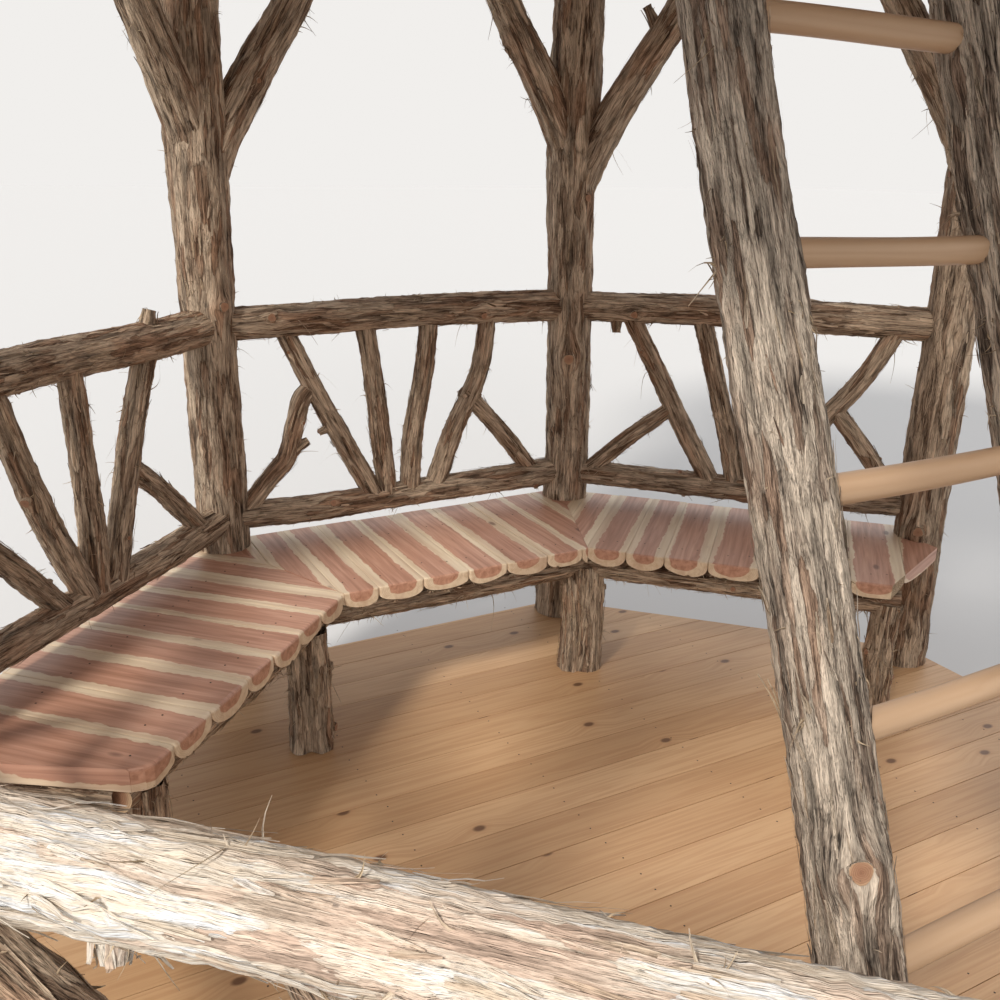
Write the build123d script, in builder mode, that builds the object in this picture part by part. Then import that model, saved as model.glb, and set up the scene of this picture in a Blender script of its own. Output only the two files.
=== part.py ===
from build123d import *
import math
import os

os.makedirs("parts", exist_ok=True)

# Two-story log gazebo, octagonal in plan, in millimetres.
# +Z is up, the origin is on the ground at the centre, and the entrance faces -Y.
# Heights named below, apart from the deck's own, are measured from the deck's top.

# Plan
side_count = 8
turn = 360 / side_count
half_turn = turn / 2
post_circle = 1525

# Ground deck
deck_height = 180
board_thickness = 32
deck_reach = 74
rim_width = 45
joist_width = 45
joist_spacing = 420

# Hewn sections: flats round a trunk, a rail and a twig
trunk_sides = 12
log_sides = 10
rail_sides = 8
twig_sides = 6

# Posts
post_foot_radius = 78
post_fork_radius = 74
post_ring_radius = 70
post_head_radius = 64
post_head_cup = 18
post_crook = 14
crook_turn = 137
fork_height = 1560
fork_root = 60
fork_stagger = 70
branch_radius = 48
branch_tip_radius = 38
branch_slope = 32
branch_crook = 14

# Railings
top_rail_height = 1092
low_rail_height = 531
top_rail_radius = 48
low_rail_radius = 41
low_rail_crook = 9
twig_radius = 32
twig_tip_radius = 28
twig_crook = 16

# Each railing's top rail rises in its middle by the first value here. Then come its twigs, as top and
# foot in shares of half a bay from its middle, and its braces, as foot, twig and share of that twig.
# Bays whose railing isn't known repeat the scheme with places of their own.
fans = (
    (9, ((0.60, 0.20), (0.21, 0.12), (-0.12, -0.02), (-0.46, -0.19)), ((0.88, 0, 0.63), (-0.80, 3, 0.55))),
    (9, ((0.78, 0.62), (0.42, 0.04), (-0.01, -0.03), (-0.52, -0.15)), ((0.17, 0, 0.60), (-0.80, 3, 0.48))),
    (7, ((0.50, 0.22), (0.16, 0.06), (-0.18, -0.04), (-0.60, -0.20)), ((0.82, 0, 0.52), (-0.86, 3, 0.62))),
    (-6, ((0.70, 0.50), (0.25, 0.44), (-0.25, 0.38), (-0.92, 0.30)), ((0.88, 0, 0.50), (-0.80, 3, 0.50))),
    (6, ((0.70, 0.24), (0.24, 0.06), (-0.24, -0.06), (-0.66, -0.22)), ((0.84, 0, 0.45), (-0.84, 3, 0.55))),
    (10, ((0.52, 0.14), (0.02, 0.03), (-0.42, -0.04), (-0.78, -0.62)), ((0.80, 0, 0.48), (-0.17, 3, 0.60))),
    (8, ((0.56, 0.24), (0.20, 0.10), (-0.14, -0.04), (-0.52, -0.22)), ((0.86, 0, 0.50), (-0.82, 3, 0.55))),
    (5, ((0.63, 0.16), (0.25, 0.02), (-0.22, -0.08), (-0.76, -0.16)), ((0.86, 0, 0.45), (-0.86, 3, 0.52))),
)

# Bench
seat_height = 437
seat_depth = 479
seat_rear = 44
slab_width = 116
slab_thickness = 52
slab_joint_thickness = 28
slab_flats = ((0, 0), (0.2, 0.75), (0.5, 1), (0.8, 0.75), (1, 0))
seat_end_reach = 85
seat_tail_inset = 120
seat_square_end = 522
seat_round = 12
bench_log_radius = 37
bench_log_bed = 4
front_log_inset = 85
end_bearer_inset = 54

# Legs, as bay, end of that bay's front log, place inward from its corner, and radius.
# The two stems that meet under one corner make a double leg.
legs = ((7, -1, -60, 42), (7, 1, 28, 44), (0, -1, 28, 40), (1, -1, 100, 57), (1, 1, 20, 55))

# Upper floor
ring_log_radius = 58
ring_log_crook = 8
ring_log_height = 2300
upper_joist_radius = 55
upper_joist_bed = 28
upper_joist_flat = 38
upper_board_thickness = 30
upper_reach = 40
outer_joist_place = 950
hatch_half_width = 355
hatch_front = -720
hatch_back = 130
header_bearing = 70

# Roof
plate_radius = 58
plate_height = 4460
eave_reach = 330
roof_slope = 32
roof_thickness = 40
rafter_radius = 46
rafter_bed = 12
common_rafter_end = 230
hub_radius = 90
hub_drop = 150

# Ladder
ladder_foot = -874
ladder_lean = 20.2
ladder_side = -43
ladder_half_width = 255
stile_radius = 61
ladder_height = 3220
first_rung = 159
rung_step = 315.5
rung_count = 8
rung_radius = 23

# Sizes that follow from the ones above
half_cos = math.cos(math.radians(half_turn))
half_tan = math.tan(math.radians(half_turn))
post_line = post_circle * half_cos
half_bay = post_line * half_tan
upper_joist_height = ring_log_height + ring_log_radius - upper_joist_bed + upper_joist_radius
upper_joist_top = upper_joist_height + upper_joist_flat
upper_floor_height = upper_joist_top + upper_board_thickness
inner_joist_place = hatch_half_width + upper_joist_radius
bench_log_height = seat_height - slab_thickness - bench_log_radius + bench_log_bed

post_names = (
    "right_back", "back_right", "back_left", "left_back",
    "left_front", "front_left", "front_right", "right_front",
)
bay_names = ("right", "back_right", "back", "back_left", "left", "front_left", "front", "front_right")
post_angles = [half_turn + turn * i for i in range(side_count)]
bay_angles = [turn * i for i in range(side_count)]
entrance_bay = 6
bench_bays = (7, 0, 1)


def polar(radius, angle, height):
    # A point at a radius and an angle from +X, at a height above the deck.
    x = radius * math.cos(math.radians(angle))
    y = radius * math.sin(math.radians(angle))
    return Vector(x, y, deck_height + height)


def in_bay(apothem, along, height):
    # A point in the right bay: outward, along the side, and above the deck.
    return Vector(apothem, along, deck_height + height)


def tree(places, radii, sides):
    # A natural stem: hewn sections square to the line from its butt to its tip.
    sections = []
    for place, radius in zip(places, radii):
        with BuildSketch(Plane(origin=place, z_dir=places[-1] - places[0])) as section:
            RegularPolygon(radius, sides)
        sections.append(section.sketch.face())
    loft(sections, ruled=True)


def log(start, end, radius, end_radius=None, crook=None, sides=log_sides):
    # A log from one point to another, with its middle moved aside where it has a crook.
    tip_radius = radius if end_radius is None else end_radius
    if crook is None:
        tree((start, end), (radius, tip_radius), sides)
    else:
        middle = start + (end - start) * 0.5 + crook
        tree((start, middle, end), (radius, (radius + tip_radius) / 2, tip_radius), sides)


def octagon(apothem):
    # A regular octagon, sides square to the axes and the diagonals.
    RegularPolygon(apothem / half_cos, side_count, rotation=half_turn)


# One bay's wedge, which mitres rails and plate logs on the posts' own lines.
with BuildPart() as bay_wedge:
    with BuildSketch():
        wedge_reach = 2 * post_circle
        Polygon(
            (0, 0),
            (wedge_reach, -wedge_reach * half_tan),
            (wedge_reach, wedge_reach * half_tan),
            align=None,
        )
    extrude(amount=2 * plate_height)

# Trunks, from the deck to the roof plate, each crooked its own way between its joints.
trunk_top = plate_height - plate_radius + post_head_cup
trunks = []
for number, angle in enumerate(post_angles):
    stations = (
        (0, post_foot_radius, 0),
        (fork_height * 0.4, post_fork_radius, 1),
        (fork_height, post_fork_radius, -0.6),
        (ring_log_height, post_ring_radius, 0),
        ((ring_log_height + trunk_top) / 2, post_head_radius, 0.4),
        (trunk_top, post_head_radius, 0),
    )
    crook_way = polar(post_crook, number * crook_turn, 0) - polar(0, 0, 0)
    places = [polar(post_circle, angle, height) + crook_way * share for height, radius, share in stations]
    with BuildPart() as trunk:
        tree(places, [radius for height, radius, share in stations], trunk_sides)
    trunks.append(trunk.part)

# Ring of logs under the upper floor, and ring of logs that carries the rafters.
with BuildPart() as right_plate_log:
    log(
        in_bay(post_line, -half_bay - post_foot_radius, plate_height),
        in_bay(post_line, half_bay + post_foot_radius, plate_height),
        plate_radius,
    )
    add(bay_wedge.part, mode=Mode.INTERSECT)

ring_log_parts = []
for bay, angle in enumerate(bay_angles):
    with BuildPart() as ring_log:
        start = polar(post_circle, angle - half_turn, ring_log_height)
        end = polar(post_circle, angle + half_turn, ring_log_height)
        log(start, end, ring_log_radius, crook=Vector(0, 0, -ring_log_crook))
        add(trunks[bay], mode=Mode.SUBTRACT)
        add(trunks[bay - 1], mode=Mode.SUBTRACT)
    ring_log_parts.append(ring_log.part)

with BuildPart() as ring_logs:
    for ring_log_part in ring_log_parts:
        add(ring_log_part)
ring_logs.part.label = "ring_logs"
export_step(ring_logs.part, "parts/ring_logs.step")

with BuildPart() as roof_plate:
    for angle in bay_angles:
        add(right_plate_log.part, rotation=(0, 0, angle))
roof_plate.part.label = "roof_plate"
export_step(roof_plate.part, "parts/roof_plate.step")

# Forked posts: on each side a branch rises along the bay to the ring log and to the plate.
branch_levels = (
    (fork_height, ring_log_height),
    (fork_height + plate_height - ring_log_height, plate_height),
)
for number, (angle, name, trunk_part) in enumerate(zip(post_angles, post_names, trunks)):
    forks = []
    for way, lift, bay in ((-1, 0, number), (1, fork_stagger, (number + 1) % side_count)):
        bay_way = angle + way * (90 + half_turn)
        crook = polar(branch_crook, bay_way, 0) - polar(0, 0, 0)
        for low, high in branch_levels:
            root = polar(post_circle, angle, low - fork_root + lift)
            rise = high - low + fork_root - lift
            run = rise * math.tan(math.radians(branch_slope))
            tip = root + (polar(run, bay_way, rise) - polar(0, 0, 0))
            with BuildPart() as fork:
                log(root, tip, branch_radius, branch_tip_radius, crook=crook, sides=rail_sides)
                if high == ring_log_height:
                    add(ring_log_parts[bay], mode=Mode.SUBTRACT)
            forks.append(fork.part)
    with BuildPart() as post:
        add(trunk_part)
        for fork_part in forks:
            add(fork_part)
        add(roof_plate.part, mode=Mode.SUBTRACT)
    post.part.label = "post_" + name
    export_step(post.part, "parts/post_" + name + ".step")

# Ground deck: an octagonal rim, joists from side to side, and boards on top.
frame_height = deck_height - board_thickness
rim_inside = post_line + deck_reach - rim_width
with BuildPart() as deck_rim:
    with BuildSketch():
        octagon(post_line + deck_reach)
    extrude(amount=frame_height)
    with BuildSketch():
        octagon(rim_inside)
    extrude(amount=frame_height, mode=Mode.SUBTRACT)
deck_rim.part.label = "deck_rim"
export_step(deck_rim.part, "parts/deck_rim.step")

joist_rows = 2 * int(rim_inside / joist_spacing) + 1
with BuildPart() as deck_joists:
    with BuildSketch():
        with GridLocations(0, joist_spacing, 1, joist_rows):
            Rectangle(4 * post_circle, joist_width)
        RegularPolygon(rim_inside / half_cos, side_count, rotation=half_turn, mode=Mode.INTERSECT)
    extrude(amount=frame_height)
deck_joists.part.label = "deck_joists"
export_step(deck_joists.part, "parts/deck_joists.step")

with BuildPart() as deck_boards:
    with BuildSketch(Plane.XY.offset(frame_height)):
        octagon(post_line + deck_reach)
    extrude(amount=board_thickness)
deck_boards.part.label = "deck_boards"
export_step(deck_boards.part, "parts/deck_boards.step")

# Railings: two rails between the posts, with a fan of twigs and two braces in each bay's own places.
# The upper railings take the fans of the bays across from them.


def twig_point(share, rise, base):
    # A point of the right bay's railing: a share of half a bay aside, and a share of the way up.
    height = low_rail_height + rise * (top_rail_height - low_rail_height)
    return in_bay(post_line, share * half_bay, base + height)


for floor_name, base, across in (("ground", 0, 0), ("upper", upper_floor_height, side_count // 2)):
    for bay, (angle, name) in enumerate(zip(bay_angles, bay_names)):
        if floor_name == "ground" and bay == entrance_bay:
            continue
        top_rail_crook, twigs, braces = fans[(bay + across) % side_count]
        with BuildPart() as right_railing:
            rails = ((1, top_rail_radius, top_rail_crook), (0, low_rail_radius, -low_rail_crook))
            for rise, radius, crook in rails:
                low_end = twig_point(-1, rise, base)
                high_end = twig_point(1, rise, base)
                log(low_end, high_end, radius, crook=Vector(0, 0, crook), sides=rail_sides)
            add(bay_wedge.part, mode=Mode.INTERSECT)
            for number, (top, foot) in enumerate(twigs):
                bend = Vector(0, twig_crook * math.sin(number * crook_turn), 0)
                twig_foot = twig_point(foot, 0, base)
                twig_top = twig_point(top, 1, base)
                log(twig_foot, twig_top, twig_radius, twig_tip_radius, crook=bend, sides=twig_sides)
            for foot, number, rise in braces:
                top, low = twigs[number]
                lean = twig_point(low + rise * (top - low), rise, base)
                log(twig_point(foot, 0, base), lean, twig_tip_radius, sides=twig_sides)
        with BuildPart() as railing:
            add(right_railing.part, rotation=(0, 0, angle))
            add(trunks[bay], mode=Mode.SUBTRACT)
            add(trunks[bay - 1], mode=Mode.SUBTRACT)
        railing.part.label = floor_name + "_railing_" + name
        export_step(railing.part, "parts/" + floor_name + "_railing_" + name + ".step")

# Bench logs: a front ring on the legs, with a bearer under the square end, and a rear ring between
# the posts.
front_log_line = post_line - seat_depth + front_log_inset
bench_angles = [bay_angles[bay] for bay in bench_bays]
bearer_place = seat_square_end - end_bearer_inset


def on_bench(angle, apothem, along, height):
    # A point of the bay at an angle: outward, along the side, and above the deck.
    return (Rotation(0, 0, angle) * Pos(in_bay(apothem, along, height))).position


with BuildPart() as bench_front_logs:
    for bay, angle in zip(bench_bays, bench_angles):
        low_end = -front_log_line * half_tan
        high_end = front_log_line * half_tan
        if bay == bench_bays[0]:
            low_end -= seat_end_reach / half_cos
        if bay == bench_bays[-1]:
            high_end = bearer_place
        start = on_bench(angle, front_log_line, low_end, bench_log_height)
        end = on_bench(angle, front_log_line, high_end, bench_log_height)
        log(start, end, bench_log_radius)
    bearer_tip = front_log_line - bench_log_radius
    bearer_front = on_bench(bench_angles[-1], bearer_tip, bearer_place, bench_log_height)
    bearer_back = on_bench(bench_angles[-1], post_line, bearer_place, bench_log_height)
    log(bearer_front, bearer_back, bench_log_radius)
    for trunk_part in trunks:
        add(trunk_part, mode=Mode.SUBTRACT)
bench_front_logs.part.label = "bench_front_logs"
export_step(bench_front_logs.part, "parts/bench_front_logs.step")

with BuildPart() as bench_back_logs:
    for bay, angle in zip(bench_bays, bench_angles):
        log(
            polar(post_circle, angle - half_turn, bench_log_height),
            polar(post_circle, angle + half_turn, bench_log_height),
            bench_log_radius,
        )
    for trunk_part in trunks:
        add(trunk_part, mode=Mode.SUBTRACT)
    add(bench_front_logs.part, mode=Mode.SUBTRACT)
bench_back_logs.part.label = "bench_back_logs"
export_step(bench_back_logs.part, "parts/bench_back_logs.step")

# Bench legs: stems from the deck up to the front ring.
with BuildPart() as bench_legs:
    for bay, end, inward, radius in legs:
        along = end * (front_log_line * half_tan - inward)
        foot = on_bench(bay_angles[bay], front_log_line, along, 0)
        log(foot, foot + Vector(0, 0, bench_log_height), radius)
    add(bench_front_logs.part, mode=Mode.SUBTRACT)
bench_legs.part.label = "bench_legs"
export_step(bench_legs.part, "parts/bench_legs.step")

# Bench seats: half-log slabs side by side, round side down, cut to the bay's wedge.
seat_front = post_line - seat_depth
seat_back = post_line + seat_rear
slab_count = 2 * math.ceil((seat_back * half_tan + seat_end_reach / half_cos) / slab_width) + 1
with BuildPart() as slab_row:
    with BuildSketch(Plane(origin=(0, 0, deck_height + seat_height), x_dir=(0, 1, 0), z_dir=(1, 0, 0))):
        with BuildLine():
            half_row = slab_count * slab_width / 2
            joint = -slab_joint_thickness
            Polyline((-half_row, joint), (-half_row, 0), (half_row, 0), (half_row, joint))
            for slab in range(slab_count):
                left = -half_row + slab * slab_width
                Polyline(*[
                    (left + share * slab_width, joint - rise * (slab_thickness - slab_joint_thickness))
                    for share, rise in slab_flats
                ])
        make_face()
    extrude(amount=2 * post_circle)

# Where two seats meet they are mitred on the post's own line. The low end runs past that line and stops
# in front of its post, and the high end is cut square.
seat_tail = post_line - seat_tail_inset
end_reach = seat_end_reach / half_cos
for bay, angle in zip(bench_bays, bench_angles):
    low_corners = [(seat_front, -seat_front * half_tan), (seat_back, -seat_back * half_tan)]
    high_corners = [(seat_back, seat_back * half_tan), (seat_front, seat_front * half_tan)]
    if bay == bench_bays[0]:
        low_corners = [
            (seat_front, -seat_front * half_tan - end_reach),
            (seat_tail, -seat_tail * half_tan - end_reach),
            (seat_tail, -half_bay),
            (seat_back, -half_bay),
        ]
    if bay == bench_bays[-1]:
        high_corners = [(seat_back, seat_square_end), (seat_front, seat_square_end)]
    with BuildPart() as plain_seat:
        with BuildSketch(Plane.XY.offset(deck_height)):
            Polygon(*low_corners, *high_corners, align=None)
        extrude(amount=2 * seat_height)
        add(slab_row.part, mode=Mode.INTERSECT)
        front_arris = plain_seat.faces().sort_by(Axis.Z)[-1].edges().sort_by(Axis.X)[0]
        fillet(front_arris, seat_round)
    with BuildPart() as seat:
        add(plain_seat.part, rotation=(0, 0, angle))
        add(bench_front_logs.part, mode=Mode.SUBTRACT)
        add(bench_back_logs.part, mode=Mode.SUBTRACT)
        add(trunks[bay], mode=Mode.SUBTRACT)
        add(trunks[bay - 1], mode=Mode.SUBTRACT)
    seat.part.label = "bench_seat_" + bay_names[bay]
    export_step(seat.part, "parts/bench_seat_" + bay_names[bay] + ".step")

# Upper floor: flat-topped joist logs on the ring, headers beside the hatch, and boards.
joist_plane = Plane.YZ.offset(-2 * post_circle)
with BuildPart() as upper_joists:
    with BuildSketch(joist_plane):
        with Locations(*[
            (place, deck_height + upper_joist_height)
            for place in (
                -outer_joist_place,
                ladder_side - inner_joist_place,
                ladder_side + inner_joist_place,
                outer_joist_place,
            )
        ]):
            RegularPolygon(upper_joist_radius, log_sides)
    extrude(amount=4 * post_circle)
    header_front = hatch_front - upper_joist_radius
    header_back = hatch_back + upper_joist_radius - header_bearing
    side = Vector(0, inner_joist_place, 0)
    for place in (header_front, header_back):
        header = Vector(place, ladder_side, deck_height + upper_joist_height)
        log(header - side, header + side, upper_joist_radius)
    with BuildSketch(Plane.XY.offset(deck_height + upper_joist_height - upper_joist_radius)):
        octagon(post_line + upper_reach)
    extrude(amount=upper_joist_radius + upper_joist_flat, mode=Mode.INTERSECT)
    add(ring_logs.part, mode=Mode.SUBTRACT)
upper_joists.part.label = "upper_joists"
export_step(upper_joists.part, "parts/upper_joists.step")

with BuildPart() as upper_floor:
    with BuildSketch(Plane.XY.offset(deck_height + upper_joist_top)):
        octagon(post_line + upper_reach)
        with Locations(((hatch_front + hatch_back) / 2, ladder_side)):
            Rectangle(hatch_back - hatch_front, 2 * hatch_half_width, mode=Mode.SUBTRACT)
    extrude(amount=upper_board_thickness)
    for trunk_part in trunks:
        add(trunk_part, mode=Mode.SUBTRACT)
upper_floor.part.label = "upper_floor"
export_step(upper_floor.part, "parts/upper_floor.step")

# Roof: eight hip logs to a hub, eight common logs between them, and the boarded pyramid.
hip_slope = math.degrees(math.atan(math.tan(math.radians(roof_slope)) * half_cos))
hip_tan = math.tan(math.radians(hip_slope))
roof_tan = math.tan(math.radians(roof_slope))
rafter_height = plate_height + plate_radius + rafter_radius - rafter_bed
hip_drop = (rafter_radius - rafter_bed) / math.cos(math.radians(hip_slope))
under_apex = rafter_height + post_circle * hip_tan + hip_drop
over_apex = under_apex + roof_thickness / math.cos(math.radians(roof_slope))
eave_line = post_line + eave_reach


def pyramid(apex):
    # An eight-sided pyramid of the roof's slope that runs past the eaves.
    base_line = eave_line + roof_thickness
    with BuildSketch(Plane.XY.offset(deck_height + apex - base_line * roof_tan)) as base:
        octagon(base_line)
    loft([base.sketch.face(), Vertex(0, 0, deck_height + apex)], ruled=True)


with BuildPart() as under_roof:
    pyramid(under_apex)

with BuildPart() as roof_boards:
    pyramid(over_apex)
    with BuildSketch(Plane.XY.offset(deck_height)):
        octagon(eave_line)
    extrude(amount=2 * over_apex, mode=Mode.INTERSECT)
    add(under_roof.part, mode=Mode.SUBTRACT)
roof_boards.part.label = "roof_boards"
export_step(roof_boards.part, "parts/roof_boards.step")

hub_top = under_apex
hub_low = under_apex - hub_radius * hip_tan - hub_drop
with BuildPart() as roof_hub:
    log(polar(0, 0, hub_low), polar(0, 0, hub_top), hub_radius)
    add(under_roof.part, mode=Mode.INTERSECT)
roof_hub.part.label = "roof_hub"
export_step(roof_hub.part, "parts/roof_hub.step")

rafter_tip = eave_line / half_cos - 2 * roof_thickness
with BuildPart() as hip_rafters:
    for angle in post_angles:
        high = polar(0, angle, rafter_height + post_circle * hip_tan)
        low = polar(rafter_tip, angle, rafter_height - (rafter_tip - post_circle) * hip_tan)
        log(low, high, rafter_radius)
    add(under_roof.part, mode=Mode.INTERSECT)
    add(roof_hub.part, mode=Mode.SUBTRACT)
    add(roof_plate.part, mode=Mode.SUBTRACT)
hip_rafters.part.label = "hip_rafters"
export_step(hip_rafters.part, "parts/hip_rafters.step")

common_drop = (rafter_radius - rafter_bed) / math.cos(math.radians(roof_slope))
common_tip = eave_line - 2 * roof_thickness
with BuildPart() as common_rafters:
    for angle in bay_angles:
        high = polar(common_rafter_end, angle, under_apex - common_drop - common_rafter_end * roof_tan)
        low = polar(common_tip, angle, under_apex - common_drop - common_tip * roof_tan)
        log(low, high, rafter_radius)
    add(under_roof.part, mode=Mode.INTERSECT)
    add(hip_rafters.part, mode=Mode.SUBTRACT)
    add(roof_hub.part, mode=Mode.SUBTRACT)
    add(roof_plate.part, mode=Mode.SUBTRACT)
common_rafters.part.label = "common_rafters"
export_step(common_rafters.part, "parts/common_rafters.step")

# Ladder: two leaning stiles through the hatch and rungs let into them.
lean_tan = math.tan(math.radians(ladder_lean))


def on_ladder(side, height):
    return Vector(ladder_foot + height * lean_tan, ladder_side + side, deck_height + height)


with BuildPart() as ladder_rungs:
    for rung in range(rung_count):
        height = first_rung + rung * rung_step
        log(on_ladder(-ladder_half_width, height), on_ladder(ladder_half_width, height), rung_radius)
ladder_rungs.part.label = "ladder_rungs"
export_step(ladder_rungs.part, "parts/ladder_rungs.step")

for side, name in ((-ladder_half_width, "front"), (ladder_half_width, "back")):
    with BuildPart() as stile:
        log(on_ladder(side, -2 * stile_radius), on_ladder(side, ladder_height), stile_radius)
        add(ladder_rungs.part, mode=Mode.SUBTRACT)
        add(upper_joists.part, mode=Mode.SUBTRACT)
        with Locations((0, 0, deck_height - 2 * stile_radius)):
            Box(4 * post_circle, 4 * post_circle, 4 * stile_radius, mode=Mode.SUBTRACT)
    stile.part.label = "ladder_stile_" + name
    export_step(stile.part, "parts/ladder_stile_" + name + ".step")
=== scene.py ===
import math
import bpy
import bmesh
import numpy as np
from mathutils import Matrix, Vector


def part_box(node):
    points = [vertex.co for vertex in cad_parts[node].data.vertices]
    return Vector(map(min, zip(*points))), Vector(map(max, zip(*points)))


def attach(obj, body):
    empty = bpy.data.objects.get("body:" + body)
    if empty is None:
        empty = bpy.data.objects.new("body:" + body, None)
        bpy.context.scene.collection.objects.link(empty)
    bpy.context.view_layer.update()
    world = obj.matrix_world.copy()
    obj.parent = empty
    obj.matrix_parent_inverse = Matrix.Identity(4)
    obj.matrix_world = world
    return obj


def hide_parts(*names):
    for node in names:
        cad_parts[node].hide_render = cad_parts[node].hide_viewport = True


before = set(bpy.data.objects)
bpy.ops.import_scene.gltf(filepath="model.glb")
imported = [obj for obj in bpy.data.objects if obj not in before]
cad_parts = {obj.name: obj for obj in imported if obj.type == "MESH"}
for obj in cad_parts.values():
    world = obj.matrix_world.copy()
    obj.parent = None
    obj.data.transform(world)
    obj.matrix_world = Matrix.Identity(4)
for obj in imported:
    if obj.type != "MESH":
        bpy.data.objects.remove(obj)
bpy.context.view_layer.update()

# Plan of the gazebo, in metres, as in the solids
SIDES = 8
HALF = math.radians(22.5)
HALF_TAN = math.tan(HALF)
POST_CIRCLE = 1.525
POST_LINE = POST_CIRCLE * math.cos(HALF)
HALF_BAY = POST_CIRCLE * math.sin(HALF)
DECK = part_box("deck_boards")[1].z
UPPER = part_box("upper_floor")[1].z
BAYS = ["right", "back_right", "back", "back_left", "left", "front_left", "front", "front_right"]
POSTS = ["right_back", "back_right", "back_left", "left_back",
         "left_front", "front_left", "front_right", "right_front"]
TOP_RAIL = 1.092
LOW_RAIL = 0.531
RING = 2.300
PLATE = 4.460
EYE = np.array([-1.450, 1.206, DECK + 1.542])
TURN = 2 * math.pi


def polar(radius, degrees, z):
    a = math.radians(degrees)
    return np.array([radius * math.cos(a), radius * math.sin(a), z])


def turn_to_bay(points, bay):
    """Points, given as outward, along the side to the left as seen from inside, and up, turned into a bay."""
    a = math.radians(45 * bay)
    out, along, z = np.moveaxis(np.asarray(points, float), -1, 0)
    x = out * math.cos(a) - along * math.sin(a)
    y = out * math.sin(a) + along * math.cos(a)
    return np.stack([x, y, z], axis=-1)


def in_bay(bay, out, along, z):
    return turn_to_bay((out, along, z), bay)


def arc(a, b, shift=(0, 0, 0)):
    """Two ends and a middle that is a little off the straight line."""
    return [a, (a + b) / 2 + shift, b]


# Materials

class Out:
    """What comes out of a shader node. Arithmetic on it adds math nodes to the same tree."""

    def __init__(self, socket):
        self.socket, self.tree = socket, socket.id_data

    def __add__(self, other):
        return calc("ADD", self, other)

    def __sub__(self, other):
        return calc("SUBTRACT", self, other)

    def __mul__(self, other):
        return calc("MULTIPLY", self, other)

    def __pow__(self, other):
        return calc("POWER", self, other)


def node(tree, kind, inputs={}, output=0, **settings):
    """Adds a shader node and returns one of its outputs. Inputs are given by name or number."""
    made = tree.nodes.new("ShaderNode" + kind)
    for key, value in settings.items():
        setattr(made, key, value)
    for key, value in inputs.items():
        if isinstance(value, Out):
            tree.links.new(value.socket, made.inputs[key])
        else:
            made.inputs[key].default_value = value
    return Out(made.outputs[output])


def calc(operation, a, b=0.0, clamp=False):
    return node(a.tree, "Math", {0: a, 1: b}, operation=operation, use_clamp=clamp)


def centred(value, amount):
    return (value - 0.5) * amount


def attribute(tree, name, output="Fac"):
    return node(tree, "Attribute", {}, output, attribute_name=name)


def mapped(place, scale):
    return node(place.tree, "Mapping", {"Vector": place, "Scale": scale})


def moved(place, by, amount):
    return node(place.tree, "VectorMath", {0: by, 1: amount, 2: place}, operation="MULTIPLY_ADD")


def noise(place, stretch, scale, detail, rough=0.55, distort=0.0, output="Fac"):
    """Noise, on a place that can be scaled along each axis first."""
    place = mapped(place, stretch) if stretch else place
    inputs = {"Vector": place, "Scale": scale, "Detail": detail, "Roughness": rough, "Distortion": distort}
    return node(place.tree, "TexNoise", inputs, output)


def cells(place, scale, output, feature="F1", space="3D"):
    inputs = {"Vector": mapped(place, scale), "Scale": 1.0}
    return node(place.tree, "TexVoronoi", inputs, output, voronoi_dimensions=space, feature=feature)


def ramp(value, *stops):
    """A colour ramp. A stop is its place and its colour or grey."""
    out = node(value.tree, "ValToRGB", {"Fac": value}, "Color")
    elements = out.socket.node.color_ramp.elements
    while len(elements) < len(stops):
        elements.new(0.5)
    for k, (place, colour) in enumerate(stops):
        elements[k].position = place
        elements[k].color = (*colour, 1.0) if isinstance(colour, tuple) else (colour, colour, colour, 1.0)
    return out


def mix(share, a, b, blend="MIX"):
    tree = next(value.tree for value in (share, a, b) if isinstance(value, Out))
    a, b = ((*colour, 1.0) if isinstance(colour, tuple) else colour for colour in (a, b))
    return node(tree, "Mix", {0: share, 6: a, 7: b}, 2, data_type="RGBA", blend_type=blend)


def tinted(colour, by):
    return mix(1.0, colour, by, "MULTIPLY")


def scaled(colour, by, most=1.0):
    return tuple(min(most, c * by) for c in colour)


def new_material(name):
    material = bpy.data.materials.new(name)
    material.use_nodes = True
    material.node_tree.nodes.clear()
    return material, material.node_tree


def finish(material, inputs, *reliefs):
    """Gives a material its surface. A relief is its height, strength and distance, the coarse ones first."""
    tree = material.node_tree
    for height, strength, distance in reliefs:
        bump = {"Height": height, "Strength": strength, "Distance": distance}
        if "Normal" in inputs:
            bump["Normal"] = inputs["Normal"]
        inputs["Normal"] = node(tree, "Bump", bump)
    surface = node(tree, "BsdfPrincipled", inputs)
    tree.links.new(surface.socket, tree.nodes.new("ShaderNodeOutputMaterial").inputs["Surface"])
    return material


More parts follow.
